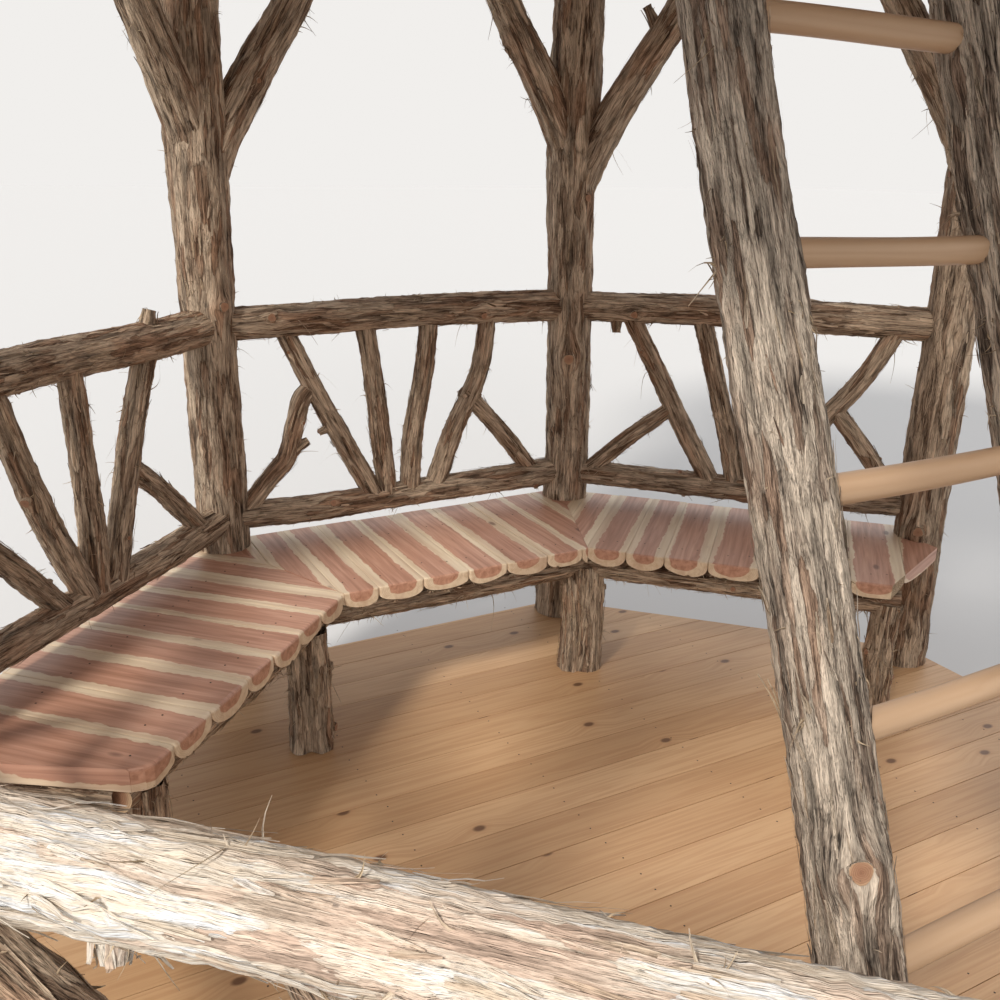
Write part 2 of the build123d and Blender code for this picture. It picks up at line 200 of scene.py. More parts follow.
def bark_material(name, dark, middle, light, red, redness=0.75, wave=0.5, depth=0.40):
    """Stringy cedar bark: long strips with dark cracks, fibres, grey weathering and red-brown underneath.

    depth is how bright the deepest bark stays under the painted shade in its furrows, and wave is how much
    the fibres waver.
    """
    material, tree = new_material(name)
    place = attribute(tree, "bark", "Vector")
    waver = noise(place, (1, 1, 0.5), 20, 2, 0.5, 0, "Color")
    bent = moved(place, waver, (0.014 * wave, 0.014 * wave, 0.050))
    plates = noise(bent, (1, 1, 0.070), 150, 4, 0.6, 0.2)
    fibres = noise(bent, (1, 1, 0.050), 400, 3, 0.62, 0.2)
    hairs = noise(place, (1, 1, 0.045), 1000, 2, 0.6)
    patches = noise(place, (1, 1, 0.45), 6.5, 3, 0.6, 0.5)
    spots = noise(place, (1, 1, 0.22), 38, 3, 0.6, 0.3)
    ragged = moved(bent, noise(place, (1, 1, 0.3), 150, 3, 0.6, 0, "Color"), (0.004, 0.004, 0.050))
    strip_size = (72, 72, 9)
    sheet = node(tree, "SeparateColor", {"Color": cells(ragged, strip_size, "Color")})
    crack = cells(ragged, strip_size, "Distance", "DISTANCE_TO_EDGE")
    tone = plates * 0.40 + fibres * 0.40 + hairs * 0.20 + centred(sheet, 0.13) + centred(spots, 0.26)
    bright = scaled(light, 1.45, 0.82 if depth > 0.5 else 1.0)
    base = ramp(tone, (0.37, dark), (0.44, middle), (0.53, light), (0.64, bright))
    reds = ramp(tone, (0.36, scaled(red, 0.1 + 0.5 * depth)), (0.48, red), (0.62, scaled(red, 1.7)))
    bare = tinted(ramp(patches, (0.40, 0.25), (0.58, 1.0)), ramp(sheet, (0.22, 1.0), (0.34, 0.0)))
    bare = mix(ramp(patches, (0.56, 0.0), (0.68, 0.8)), bare, (1.0, 1.0, 1.0))
    colour = mix(mix(redness, (0.0, 0.0, 0.0), bare), base, reds)
    # Painted shade: the bark is darker where its surface lies low, in the furrows.
    colour = tinted(colour, ramp(attribute(tree, "relief"), (0.12, depth), (0.50, 1.0)))
    colour = tinted(colour, ramp(crack, (0.0, 0.40 + 0.55 * depth), (0.08, 1.0)))
    tan = ramp(fibres, (0.35, (0.22, 0.145, 0.082)), (0.60, (0.60, 0.46, 0.30)))
    colour = mix(calc("MULTIPLY", attribute(tree, "shade") - 0.5, 2.0, True), colour, tan)
    rough = ramp(tone, (0.3, 0.98), (0.7, 0.76))
    strength = 1.25 - 0.8 * depth
    return finish(material, {"Base Color": colour, "Roughness": rough, "Specular IOR Level": 0.25},
                  (sheet, 0.8, 0.0022), (plates, strength, 0.0085), (fibres, strength, 0.0050),
                  (hairs, 0.9, 0.0018))


def board_material(name, pale, deep, knot, gloss, ring_scale=46.0, knotty=1.0, worn=0.0):
    """Sawn softwood: straight grain that bends round knots, each board with its own tone."""
    material, tree = new_material(name)
    uv = node(tree, "UVMap")
    near = cells(uv, (3.6, 2.3, 1), "Distance", space="2D")
    aside = node(tree, "CombineXYZ", {0: ramp(near, (0.0, 1.0), (0.20, 0.0)) * 0.030})
    along = node(tree, "VectorMath", {0: mapped(uv, (1, 0.035, 1)), 1: aside})
    grain = noise(along, None, ring_scale, 2, 0.5, 0.35)
    fibre = noise(uv, (1, 0.02, 1), 420, 2, 0.6)
    colour = mix(0.55, pale, ramp(grain, (0.34, deep), (0.47, pale), (0.58, deep), (0.68, pale)))
    colour = mix(fibre * 0.28, colour, deep)
    colour = mix(centred(noise(uv, (1, 0.12, 1), 9, 2, 0.5), 0.9), colour, deep)
    darkest = (0.48, 0.43, 0.40) if worn else (0.80, 0.75, 0.70)
    colour = tinted(colour, ramp(attribute(tree, "shade"), (0.0, darkest), (1.0, 1.0)))
    colour = mix(ramp(near, (0.04, 1.0), (0.085, 0.0)) * (0.45 * knotty), colour, deep)
    colour = mix(ramp(near, (0.026, 1.0), (0.046, 0.0)) * (0.9 * knotty), colour, knot)
    if worn:
        grey = ramp(noise(uv, (1, 0.3, 1), 5, 4, 0.6), (0.38, 0.0), (0.62, 1.0))
        colour = mix(grey * worn, colour, (0.27, 0.235, 0.20))
    rough = ramp(fibre, (0.3, gloss + 0.08), (0.7, gloss - 0.06))
    return finish(material, {"Base Color": colour, "Roughness": rough, "Specular IOR Level": 0.35},
                  (grain, 0.25 + worn, 0.002), (fibre, 0.25 + worn, 0.0008))


def slab_material(name, end_grain=False):
    """Cedar half-log slab: red-brown heart inside a cream rim of sapwood, with small knots and fine grain."""
    material, tree = new_material(name)
    uv = node(tree, "UVMap")
    cross = node(tree, "SeparateXYZ", {0: attribute(tree, "cross", "Vector")})
    across, down, heart = (Out(socket) for socket in cross.socket.node.outputs)
    roundness = 2.6
    rho = (calc("ABSOLUTE", across) ** roundness + down ** roundness) ** (1 / roundness)
    stretch = 0.9 if end_grain else 0.05
    grain = noise(uv, (1, stretch, 1), 75, 3, 0.55, 0.5)
    fibre = noise(uv, (1, stretch * 0.5, 1), 400, 2, 0.6)
    wobble = noise(uv, (0.4, 0.5, 1), 11, 3, 0.55)
    ragged = noise(uv, (0.7, 1, 1), 38, 2, 0.5)
    inside = heart - rho + centred(wobble, 0.34) + centred(ragged, 0.20) + centred(grain, 0.05)
    red = ramp(grain, (0.32, (0.38, 0.185, 0.115)), (0.50, (0.52, 0.275, 0.185)),
               (0.66, (0.61, 0.350, 0.245)))
    cream = ramp(grain, (0.32, (0.66, 0.51, 0.345)), (0.58, (0.79, 0.655, 0.475)))
    colour = mix(ramp(inside + 0.5, (0.49, 0.0), (0.515, 1.0)), cream, red)
    streak = ramp(noise(uv, (1, 0.05, 1), 24, 2, 0.5), (0.50, 0.0), (0.66, 1.0))
    colour = mix(streak * 0.30, colour, (0.40, 0.20, 0.13))
    colour = tinted(colour, ramp(attribute(tree, "shade"), (0.0, (0.84, 0.80, 0.78)), (1.0, 1.0)))
    knot = ramp(cells(uv, (9, 4, 1), "Distance"), (0.05, 1.0), (0.10, 0.0))
    colour = mix(knot * 0.75, colour, (0.14, 0.055, 0.035))
    if end_grain:
        colour = mix((calc("SINE", rho * 90.0) + 1.0) * 0.10, colour, (0.30, 0.15, 0.08))
    rough = ramp(fibre, (0.3, 0.52), (0.7, 0.38))
    surface = {"Base Color": colour, "Roughness": rough, "Coat Weight": 0.12, "Coat Roughness": 0.30}
    return finish(material, surface, (grain, 0.15, 0.0015), (fibre, 0.2, 0.0006))


def cut_material(name):
    """End grain of a cut log or knot: rings round a red heart with a pale rim."""
    material, tree = new_material(name)
    uv = node(tree, "UVMap")
    radius = node(tree, "VectorMath", {0: uv}, "Value", operation="LENGTH")
    radius = radius + noise(uv, None, 30, 3, 0.5) * 0.012
    rings = calc("SINE", radius * 1400.0)
    body = ramp(radius, (0.002, (0.12, 0.050, 0.028)), (0.009, (0.30, 0.150, 0.085)),
                (0.028, (0.38, 0.215, 0.125)), (0.038, (0.62, 0.45, 0.28)), (0.07, (0.56, 0.41, 0.26)))
    colour = mix((rings + 1.0) * 0.18, body, (0.20, 0.09, 0.05))
    return finish(material, {"Base Color": colour, "Roughness": 0.8}, (rings, 0.2, 0.001))


def nail_material(name):
    material, tree = new_material(name)
    rust = noise(node(tree, "TexCoord", {}, "Object"), None, 900, 2)
    colour = ramp(rust, (0.3, (0.035, 0.028, 0.022)), (0.7, (0.11, 0.085, 0.065)))
    rough = ramp(rust, (0.3, 0.45), (0.7, 0.7))
    return finish(material, {"Base Color": colour, "Roughness": rough, "Metallic": 0.6}, (rust, 0.3, 0.0004))


# Bark colours from the cracks to the ridges, then that of the red bark underneath
CRACK = (0.060, 0.041, 0.028)
BARK_POST = bark_material("bark_post", CRACK, (0.3, 0.212, 0.145), (0.54, 0.415, 0.3), (0.33, 0.18, 0.105))
BARK_RAIL = bark_material("bark_rail", CRACK, (0.305, 0.21, 0.142), (0.55, 0.415, 0.295), (0.35, 0.19, 0.11))
BARK_LADDER = bark_material("bark_ladder", (0.048, 0.039, 0.032), (0.270, 0.215, 0.168), (0.59, 0.495, 0.395),
                            (0.33, 0.195, 0.125), 0.70)
# Pale bark of the foreground rail: partly its own smoother, paler bark, partly painted sunlight that makes it
# lighter than the rail bark.
BARK_PALE_SUNLIT = bark_material("bark_pale_sunlit", (0.450, 0.360, 0.275), (0.74, 0.625, 0.495), (0.79, 0.700, 0.585),
                          (0.69, 0.490, 0.375), 0.85, wave=0.25, depth=0.84)
CUT = cut_material("cut_end")
# Board colours: pale grain, deep grain and knots, then the roughness
PLANK = board_material("deck_plank", (0.66, 0.430, 0.240), (0.48, 0.265, 0.130), (0.130, 0.060, 0.030), 0.46)
RIM = board_material("rim_board", (0.60, 0.385, 0.215), (0.42, 0.235, 0.120), (0.080, 0.035, 0.018), 0.55)
RUNG = board_material("peeled_rung", (0.62, 0.435, 0.285), (0.50, 0.325, 0.195), (0.30, 0.17, 0.10), 0.42,
                      24, 0.4)
SHEATHING = board_material("roof_board", (0.56, 0.37, 0.215), (0.4, 0.235, 0.125), (0.09, 0.045, 0.025), 0.6)
SHINGLE = board_material("roof_shingle", (0.40, 0.255, 0.155), (0.23, 0.135, 0.078), (0.10, 0.06, 0.04), 0.72,
                         60, 0.3, 0.50)
SLAB = slab_material("bench_slab")
SLAB_END = slab_material("bench_slab_end", True)
NAIL = nail_material("nail_head")


# Meshes

def placed(name, data):
    obj = bpy.data.objects.new(name, data)
    bpy.context.scene.collection.objects.link(obj)
    return obj


def fill(group, field, parts, kind=np.float32):
    group.foreach_set(field, np.concatenate([np.reshape(part, -1) for part in parts]).astype(kind))


def unit(v):
    return v / np.linalg.norm(v, axis=-1, keepdims=True)


def fan(n):
    """Triangles from a ring of n vertices to the vertex after them."""
    return np.array([[k, (k + 1) % n, n] for k in range(n)])


def tube(across, along):
    """Faces between rings of vertices, and their places on the texture from those across and along."""
    cols = len(across) - 1
    i, j = np.meshgrid(np.arange(len(along) - 1), np.arange(cols), indexing="ij")
    corners = ((i, j), (i, j + 1), (i + 1, j + 1), (i + 1, j))
    quads = np.stack([a * cols + b % cols for a, b in corners], axis=-1)
    uvs = np.stack([np.stack([across[b], along[a]], axis=-1) for a, b in corners], axis=2)
    return quads.reshape(-1, 4), uvs.reshape(-1, 4, 2)


class Soup:
    """Gathers stems, boards, fibres and cut ends that become one piece."""

    def __init__(self):
        self.verts, self.faces, self.uvs, self.mats = [], [], [], []
        self.values = {"relief": [], "shade": [], "bark": [], "cross": []}
        self.count = 0

    def add(self, verts, faces, uvs, mat, relief=0.6, shade=0.5, bark=None, cross=(0, 0, 0)):
        """Vertices, faces with a texture place for each corner, and what the materials read per vertex."""
        n = len(verts)
        self.verts.append(verts)
        self.faces.append(np.asarray(faces) + self.count)
        self.uvs.append(uvs)
        self.mats.append(np.broadcast_to(mat, len(faces)))
        self.values["relief"].append(np.broadcast_to(relief, n))
        self.values["shade"].append(np.broadcast_to(shade, n))
        self.values["bark"].append(verts if bark is None else bark)
        self.values["cross"].append(np.broadcast_to(cross, (n, 3)))
        self.count += n

    def piece(self, node_name, materials=(BARK_POST, CUT), slot="bark_log", name=None, smooth=True):
        """Makes the object that takes the place of a node of the solids."""
        name = name or "bark_" + node_name
        mesh = bpy.data.meshes.new(name)
        mesh.vertices.add(self.count)
        fill(mesh.vertices, "co", self.verts)
        sizes = np.concatenate([np.full(len(f), f.shape[1], np.int32) for f in self.faces])
        mesh.loops.add(int(sizes.sum()))
        fill(mesh.loops, "vertex_index", self.faces, np.int32)
        mesh.polygons.add(len(sizes))
        mesh.polygons.foreach_set("loop_start", (np.cumsum(sizes) - sizes).astype(np.int32))
        mesh.polygons.foreach_set("loop_total", sizes)
        fill(mesh.polygons, "material_index", self.mats, np.int32)
        mesh.polygons.foreach_set("use_smooth", np.full(len(sizes), smooth))
        fill(mesh.uv_layers.new(name="UVMap").data, "uv", self.uvs)
        for key, parts in self.values.items():
            kind, field = ("FLOAT", "value") if parts[0].ndim == 1 else ("FLOAT_VECTOR", "vector")
            fill(mesh.attributes.new(key, kind, "POINT").data, field, parts)
        mesh.update(calc_edges=True)
        mesh.validate(verbose=False)
        for material in materials:
            mesh.materials.append(material)
        obj = placed(name, mesh)
        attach(obj, "root")
        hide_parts(node_name)


def spline(points, step):
    """Points along a smooth curve through the given ones, with the share of the way for each."""
    p = np.asarray(points, float)
    if len(p) == 2:
        q = np.linspace(0, 1, max(2, int(np.linalg.norm(p[1] - p[0]) / step)) + 1)
        return p[0] + (p[1] - p[0]) * q[:, None], q
    ext = np.vstack([2 * p[0] - p[1], p, 2 * p[-1] - p[-2]])
    out, shares = [], []
    for k in range(len(p) - 1):
        a, b, c, d = ext[k:k + 4]
        n = max(2, int(np.linalg.norm(c - b) / step))
        q = np.linspace(0, 1, n + 1)[: (None if k == len(p) - 2 else -1), None]
        cubic = (2 * a - 5 * b + 4 * c - d) * q ** 2 + (3 * b - a - 3 * c + d) * q ** 3
        out.append(0.5 * (2 * b + (c - a) * q + cubic))
        shares.append((k + q[:, 0]) / (len(p) - 1))
    return np.vstack(out), np.concatenate(shares)


def frames(path):
    """Directions along the path and two steady directions square to it."""
    t = unit(np.gradient(path, axis=0))
    u = np.cross([0.0, 0.0, 1.0] if abs(t[0][2]) < 0.8 else [1.0, 0.0, 0.0], t[0])
    us = [u / np.linalg.norm(u)]
    for k in range(1, len(path)):
        u = us[-1] - np.dot(us[-1], t[k]) * t[k]
        us.append(u / np.linalg.norm(u))
    return t, np.array(us), np.cross(t, us)


def ribbons(soup, lines, sides, widths, mat, relief, shade, bark):
    """Thin ribbons, a line each: hairs, fibres and peeling strips."""
    count, n = lines.shape[:2]
    half = sides * widths[:, :, None]
    verts = np.stack([lines - half, lines + half], axis=2).reshape(-1, 3)
    k = np.arange(n - 1) * 2
    quad = np.stack([k, k + 1, k + 3, k + 2], axis=-1)
    faces = (quad[None] + (np.arange(count) * 2 * n)[:, None, None]).reshape(-1, 4)
    run = np.cumsum(np.linalg.norm(np.diff(lines, axis=1, prepend=lines[:, :1]), axis=2), axis=1)
    flat = np.stack([np.stack([way * widths, run], -1) for way in (-1, 1)], axis=2).reshape(-1, 2)
    places = np.repeat(bark, 2 * n, axis=0)
    places = places + np.stack([np.zeros(len(flat)), flat[:, 0], flat[:, 1]], axis=-1)
    soup.add(verts, faces, flat[faces], mat, np.repeat(relief, 2 * n), np.repeat(shade, 2 * n), places)


def tufts(soup, surface, t, away, s, bark, hairs, peels, mat, rng):
    """Bark that has come loose: strips that peel off along the stem, and curly fibres in clusters."""
    rows, cols = surface.shape[:2]

    def on_surface(row, col):
        row = np.clip(row, 0, rows - 1.001)
        low = row.astype(int)
        part = (row - low)[..., None]
        return surface[low, col] * (1 - part) + surface[low + 1, col] * part, low

    def each(low, high, count):
        return rng.uniform(low, high, count)[:, None]

    if peels:
        row = rng.uniform(0, rows - 3, peels)
        col = rng.integers(0, cols, peels)[:, None]
        q = np.linspace(0, 1, 6)
        base, low = on_surface(row[:, None] + each(0.025, 0.110, peels) * q * (rows - 1) / s[-1], col)
        out = away[low, col]
        side = np.cross(t[low], out)
        lift = each(0.0008, 0.0026, peels) + each(0, 0.007, peels) * q ** 3
        drift = side * (rng.normal(0, 0.006, peels)[:, None] * q)[..., None]
        wide = each(0.0012, 0.0046, peels) * (1 - 0.7 * q ** 2) * (0.4 + 0.6 * np.minimum(1, q * 5))
        ribbons(soup, base + out * lift[..., None] + drift, side, wide, mat,
                rng.uniform(0.55, 1.0, peels), rng.uniform(0.46, 0.72, peels),
                bark[row.astype(int), col[:, 0]] + rng.normal(0, 0.02, (peels, 3)))
    if hairs:
        short, long = 0.018, 0.052
        nests = rng.integers(0, max(2, hairs // 8), hairs)
        nest_row, nest_col = rng.uniform(1, rows - 2, hairs), rng.integers(0, cols, hairs)
        lone = rng.random(hairs) < 0.45
        row = np.where(lone, nest_row, nest_row[nests] + rng.normal(0, 0.8, hairs))
        beside = np.rint(rng.normal(0, 1.0, hairs)).astype(int)
        col = np.where(lone, nest_col, (nest_col[nests] + beside) % cols)
        base, low = on_surface(row, col)
        out = away[low, col]
        along = t[low] * np.where(rng.random(hairs) < 0.5, 1.0, -1.0)[:, None]
        is_short = rng.random(hairs) < 0.93
        length = np.where(is_short, rng.uniform(0.005, short, hairs), rng.uniform(short, long, hairs))
        heading = unit(along * each(0.3, 1.0, hairs) + np.cross(along, out) * rng.normal(0, 0.5, (hairs, 1))
                       + out * each(0.15, 0.9, hairs))
        bend = unit(np.cross(heading, rng.normal(0, 1, (hairs, 3)))) * each(0.4, 1.3, hairs)
        bend[:, 2] -= 0.3 + 22 * np.maximum(length - short, 0)
        q = np.linspace(0, 1, 5)[None, :, None]
        shape = heading[:, None] * q + bend[:, None] * q ** 2
        line = (base - out * 0.001)[:, None] + shape * length[:, None, None]
        flat = unit(np.cross(heading, rng.normal(0, 1, (hairs, 3))))[:, None]
        wide = each(0.0007, 0.0023, hairs) * (1 - 0.8 * q[..., 0])
        ribbons(soup, line, flat, wide, mat, np.full(hairs, 0.8), rng.uniform(0.72, 1.0, hairs),
                bark[low, col] + rng.normal(0, 0.02, (hairs, 3)))


# Places of the materials on a log: bark, cut faces and the pale bark of the foreground rail, which carries
# painted sunlight
SKIN, FACE, PALE = 0, 1, 2


def stem(soup, points, radii, seed, around=40, step=0.022, ridge=0.07, lump=0.05, knots=2, hairs=0,
         peels=None, caps=(False, False), mat=SKIN, marks=(), top=None, groove=0.0):
    """A bark-covered stem through the points: furrows, lumps, knots, loose bark and cut ends.

    around and step set how fine the mesh is. ridge and lump are shares of the radius.
    marks are knots on the side that the camera sees: share of the way, turn, size and whether sawn flat.
    top is the height of a flat sawn on its upper side.
    groove is the depth, as a share of the radius, of a furrow that makes it look like two grown together.
    """
    rng = np.random.default_rng(seed)
    path, share = spline(points, step)
    radius = np.interp(share, np.linspace(0, 1, len(radii)), radii)
    t, u, v = frames(path)
    s = np.concatenate([[0], np.cumsum(np.linalg.norm(np.diff(path, axis=0), axis=1))])
    A, S = np.meshgrid(np.linspace(0, TURN, around, endpoint=False), s)

    def phase():
        return rng.uniform(0, 6.3)

    def facing(row, ring):
        to_eye = EYE - path[row]
        return math.atan2(to_eye @ v[ring], to_eye @ u[ring])

    def away_from(turn):
        return (A - turn + np.pi) % TURN - np.pi

    height, weights = np.zeros_like(A), 0.0
    for n in (5, 7, 9, 11, 13, 16, 19, 23):
        if n <= around / 2.2:
            weight = 1.0 / math.sqrt(n)
            twist = rng.normal(0, 0.9) + 0.7 * np.sin(S * rng.uniform(4, 9) + phase())
            fade = 0.55 + 0.45 * np.sin(S * rng.uniform(9, 26) + phase() + A * rng.integers(1, 4))
            height += weight * fade * np.sin(n * A + twist + phase())
            weights += weight
    height /= weights
    furrow = np.clip(1.0 - np.abs(height) * 2.4, -1, 1)
    flake = sum(np.sin(S * rng.uniform(28, 95) + A * rng.integers(2, 9) + phase()) / 6 for _ in range(6))
    bumpy = np.zeros_like(A)
    for n in (1, 2, 3, 4):
        bumpy += np.sin(n * A + S * rng.uniform(2, 9) + phase()) / n / 3.2
        bumpy += 0.6 * np.sin(n * A - S * rng.uniform(3, 12) + phase()) / n / 3.2
    swell = 1 + lump * bumpy + ridge * (height * 1.3 - 0.35 * furrow + 0.45 * flake)
    R = radius[:, None] * swell + 0.0015 * rng.uniform(-1, 1, A.shape)
    mean = radius.mean()
    places = []
    for _ in range(knots):
        turn, where = rng.uniform(0, TURN), rng.uniform(0.06, 0.94)
        places.append((turn, where, rng.uniform(0.22, 0.36) * mean, rng.random() < 0.5))
    for where, turn, size, sawn in marks:
        row = int(where * (len(path) - 1))
        places.append((facing(row, row) + turn, where, size, sawn))
    aside = away_from(facing(len(path) // 2, 0))
    shoulder = np.exp(-((np.abs(aside) - 0.75) / 0.4) ** 2)
    R *= 1 - groove * np.exp(-(aside / 0.22) ** 2) + 0.25 * groove * shoulder
    turned = A.copy()
    for turn, where, size, sawn in places:
        aside = away_from(turn)
        d = np.sqrt((aside * mean) ** 2 + (S - where * s[-1]) ** 2 * 0.7) / size
        turned -= aside * (0.75 if sawn else 0.35) * np.exp(-(d / 1.7) ** 2)
        R += size * (0.50 * np.exp(-(d / 1.5) ** 2) - (0.25 if sawn else 0.80) * np.exp(-(d / 0.6) ** 4))
    away = np.cos(A)[:, :, None] * u[:, None, :] + np.sin(A)[:, :, None] * v[:, None, :]
    P = path[:, None, :] + R[:, :, None] * away
    if top is not None:
        P[..., 2] = np.minimum(P[..., 2], top)
    rows, cols = A.shape
    off = rng.uniform(0, 50, 3)
    quads, uvs = tube(np.arange(cols + 1) / cols * TURN * mean + off[0], s + off[1])
    # relief is how high the bark stands; the bark material paints shade where it is low.
    relief = np.clip(0.5 + 0.5 * (height * 1.6 + 0.4 * flake), 0, 1)
    bark = np.stack([mean * np.cos(turned), mean * np.sin(turned), S], axis=-1) + off
    soup.add(P.reshape(-1, 3), quads, uvs, mat, relief.reshape(-1), bark=bark.reshape(-1, 3))
    for end, wanted in zip((0, -1), caps):
        if wanted:
            ring, face = P[end], fan(cols)
            flat = np.stack([(ring - path[end]) @ u[end], (ring - path[end]) @ v[end]], axis=-1)
            corner = np.vstack([flat, [[0, 0]]])
            soup.add(np.vstack([ring, path[end]]), face[:, ::-1] if end == 0 else face, corner[face], FACE)
    for knot_turn, where, size, sawn in places:
        if sawn:
            row = int(np.clip(np.searchsorted(s, where * s[-1]), 0, rows - 1))
            col = int(round(knot_turn / TURN * cols)) % cols
            out = away[row, col]
            patch = R[max(0, row - 1):row + 2][:, np.arange(col - 1, col + 2) % cols]
            centre = path[row] + out * (patch.max() + 0.0025)
            n = 14
            turn = np.linspace(0, TURN, n, endpoint=False)
            rim = size * 0.62 * (1 + 0.09 * np.sin(3 * turn + knot_turn * 9))
            disc = np.cos(turn)[:, None] * np.cross(t[row], out) + np.sin(turn)[:, None] * t[row]
            ring = centre + rim[:, None] * disc
            flat = np.stack([np.cos(turn) * rim, np.sin(turn) * rim], axis=-1)
            soup.add(np.vstack([ring, centre]), fan(n), np.vstack([flat, [[0, 0]]])[fan(n)] * 1.6, FACE)
            band = np.array([[q, q + n, (q + 1) % n + n, (q + 1) % n] for q in range(n)])
            skirt = centre - out * size * 0.75 + 1.3 * rim[:, None] * disc
            soup.add(np.vstack([ring, skirt]), band[:, ::-1], np.zeros((n, 4, 2)), mat, 0.7)
    tufts(soup, P, t, away, s, bark, hairs, int(hairs * 0.5) if peels is None else peels, mat, rng)


def logs(node_name, lines, radii, seed, materials=(BARK_POST, CUT), **look):
    """A piece of several logs. lines has the line of each, by its number."""
    soup = Soup()
    for number, line in lines.items():
        stem(soup, line, radii, seed + number, **look)
    soup.piece(node_name, materials)


def board(soup, low, high, mat, tone, seed, origin=None):
    """A sawn board between two rings of four corners, its grain from a ring's first corner to its second."""
    p = np.array(list(low) + list(high), float)
    grain = unit(p[1] - p[0])
    start = p[0] if origin is None else origin
    off = np.random.default_rng(seed).uniform(0, 60, 2)
    verts, uvs = [], []
    around = [[k, (k + 1) % 4, (k + 1) % 4 + 4, k + 4] for k in range(4)]
    for n, face in enumerate([[0, 3, 2, 1], [4, 5, 6, 7], *around]):
        corners = p[face]
        side = np.cross(grain, np.cross(corners[1] - corners[0], corners[2] - corners[0]))
        side = unit(side if np.linalg.norm(side) > 1e-9 else p[3] - p[0])
        verts.append(corners)
        uvs.append(np.stack([(corners - start) @ side, (corners - start) @ grain], axis=-1) + off + n * 0.37)
    soup.add(np.vstack(verts), np.arange(24).reshape(6, 4), uvs, mat, shade=tone)


# Posts: a crooked trunk with branches on both sides below the ring and below the roof plate
BRANCH_RUN = math.tan(math.radians(32))
FORK = 1.56
ROOT_DROP = 0.06
CROOK = 0.014
STUB_LOOK = dict(step=0.008, ridge=0.10, lump=0.06, knots=0, hairs=10, caps=(False, True))
# Height above the deck, radius and share of the crook
STATIONS = (
    (0.0, 0.082, 0), (0.10, 0.077, 0.2), (0.624, 0.073, 1), (1.20, 0.073, 0), (1.56, 0.080, -0.6),
    (1.78, 0.079, -0.4), (2.02, 0.076, -0.2), (2.30, 0.069, 0), (3.35, 0.062, 0.4), (3.72, 0.068, 0.3),
    (3.95, 0.061, 0.1), (4.42, 0.059, 0),
)
# A branch from its root: share of its run, share of its rise and shift along the bay
BRANCH = ((0, -0.22, 0.012), (0.04, 0.0, 0.010), (0.25, 0.25, 0.008), (0.5, 0.5, 0.010), (0.78, 0.76, -0.003),
          (1, 0.98, 0))
POST_MARKS = {
    "right_front": ((0.209, 0.0, 0.026, True), (0.32, 0.7, 0.018, True), (0.15, -0.8, 0.016, False)),
    "front_right": ((0.242, 0.2, 0.024, False), (0.030, 0.1, 0.022, False), (0.33, -0.3, 0.020, True)),
    "right_back": ((0.26, 0.5, 0.020, True), (0.17, -0.5, 0.016, False)),
}

for number, name in enumerate(POSTS):
    near = name in ("right_front", "right_back", "front_right", "back_right")
    angle = 22.5 + 45 * number
    crook = polar(CROOK, number * 137, 0)
    stations = np.array([polar(POST_CIRCLE, angle, DECK + h) + crook * k for h, r, k in STATIONS])
    heights = np.linspace(stations[0, 2], stations[-1, 2], 17)
    path = np.stack([np.interp(heights, stations[:, 2], stations[:, axis]) for axis in range(3)], axis=-1)
    radii = np.interp(heights, stations[:, 2], [r for h, r, k in STATIONS])
    soup = Soup()
    stem(soup, path, radii, 100 + number, around=56 if near else 36, step=0.016 if near else 0.028,
         ridge=0.085, lump=0.055, knots=6, hairs=700 if near else 160, marks=POST_MARKS.get(name, ()))
    for way, lift in ((-1, 0.0), (1, 0.07)):
        along = polar(1, angle + way * 112.5, 0)
        for low, high in ((FORK, RING), (FORK + PLATE - RING, PLATE)):
            root = polar(POST_CIRCLE, angle, DECK + low - ROOT_DROP + lift)
            rise = high - low + ROOT_DROP - lift
            line = [root + along * (rise * BRANCH_RUN * q + off) + (0, 0, rise * h) for q, h, off in BRANCH]
            seed = 200 + number * 10 + int(low * 7) + way
            stem(soup, line, [0.026, 0.056, 0.053, 0.047, 0.042, 0.039], seed, around=38 if near else 26,
                 step=0.018 if near else 0.032, ridge=0.09, lump=0.07, knots=3, hairs=150 if near else 36)
    if name == "right_front":
        side = in_bay(7, POST_LINE, 0.575 * HALF_BAY, DECK + 1.895)
        tip = in_bay(7, POST_LINE - 0.012, 0.650 * HALF_BAY, DECK + 1.975)
        stem(soup, arc(side, tip), [0.026, 0.017, 0.013], 290, around=20, **STUB_LOOK)
    soup.piece("post_" + name)


# Railings: two rails and a fan of twigs with two braces, in each bay's own places as in the solids.
# For each bay: how far the top rail bows up in mm, its twigs as shares of half a bay at the top and the foot,
# and its braces as share at the foot, number of the twig and share of the way up it.
FANS = (
    (9, ((0.60, 0.20), (0.21, 0.12), (-0.12, -0.02), (-0.46, -0.19)), ((0.88, 0, 0.63), (-0.80, 3, 0.55))),
    (9, ((0.78, 0.62), (0.42, 0.04), (-0.01, -0.03), (-0.52, -0.15)), ((0.17, 0, 0.60), (-0.80, 3, 0.48))),
    (7, ((0.50, 0.22), (0.16, 0.06), (-0.18, -0.04), (-0.60, -0.20)), ((0.82, 0, 0.52), (-0.86, 3, 0.62))),
    (-6, ((0.70, 0.50), (0.25, 0.44), (-0.25, 0.38), (-0.92, 0.30)), ((0.88, 0, 0.50), (-0.80, 3, 0.50))),
    (6, ((0.70, 0.24), (0.24, 0.06), (-0.24, -0.06), (-0.66, -0.22)), ((0.84, 0, 0.45), (-0.84, 3, 0.55))),
    (10, ((0.52, 0.14), (0.02, 0.03), (-0.42, -0.04), (-0.78, -0.62)), ((0.80, 0, 0.48), (-0.17, 3, 0.60))),
    (8, ((0.56, 0.24), (0.20, 0.10), (-0.14, -0.04), (-0.52, -0.22)), ((0.86, 0, 0.50), (-0.82, 3, 0.55))),
    (5, ((0.63, 0.16), (0.25, 0.02), (-0.22, -0.08), (-0.76, -0.16)), ((0.86, 0, 0.45), (-0.86, 3, 0.52))),
)
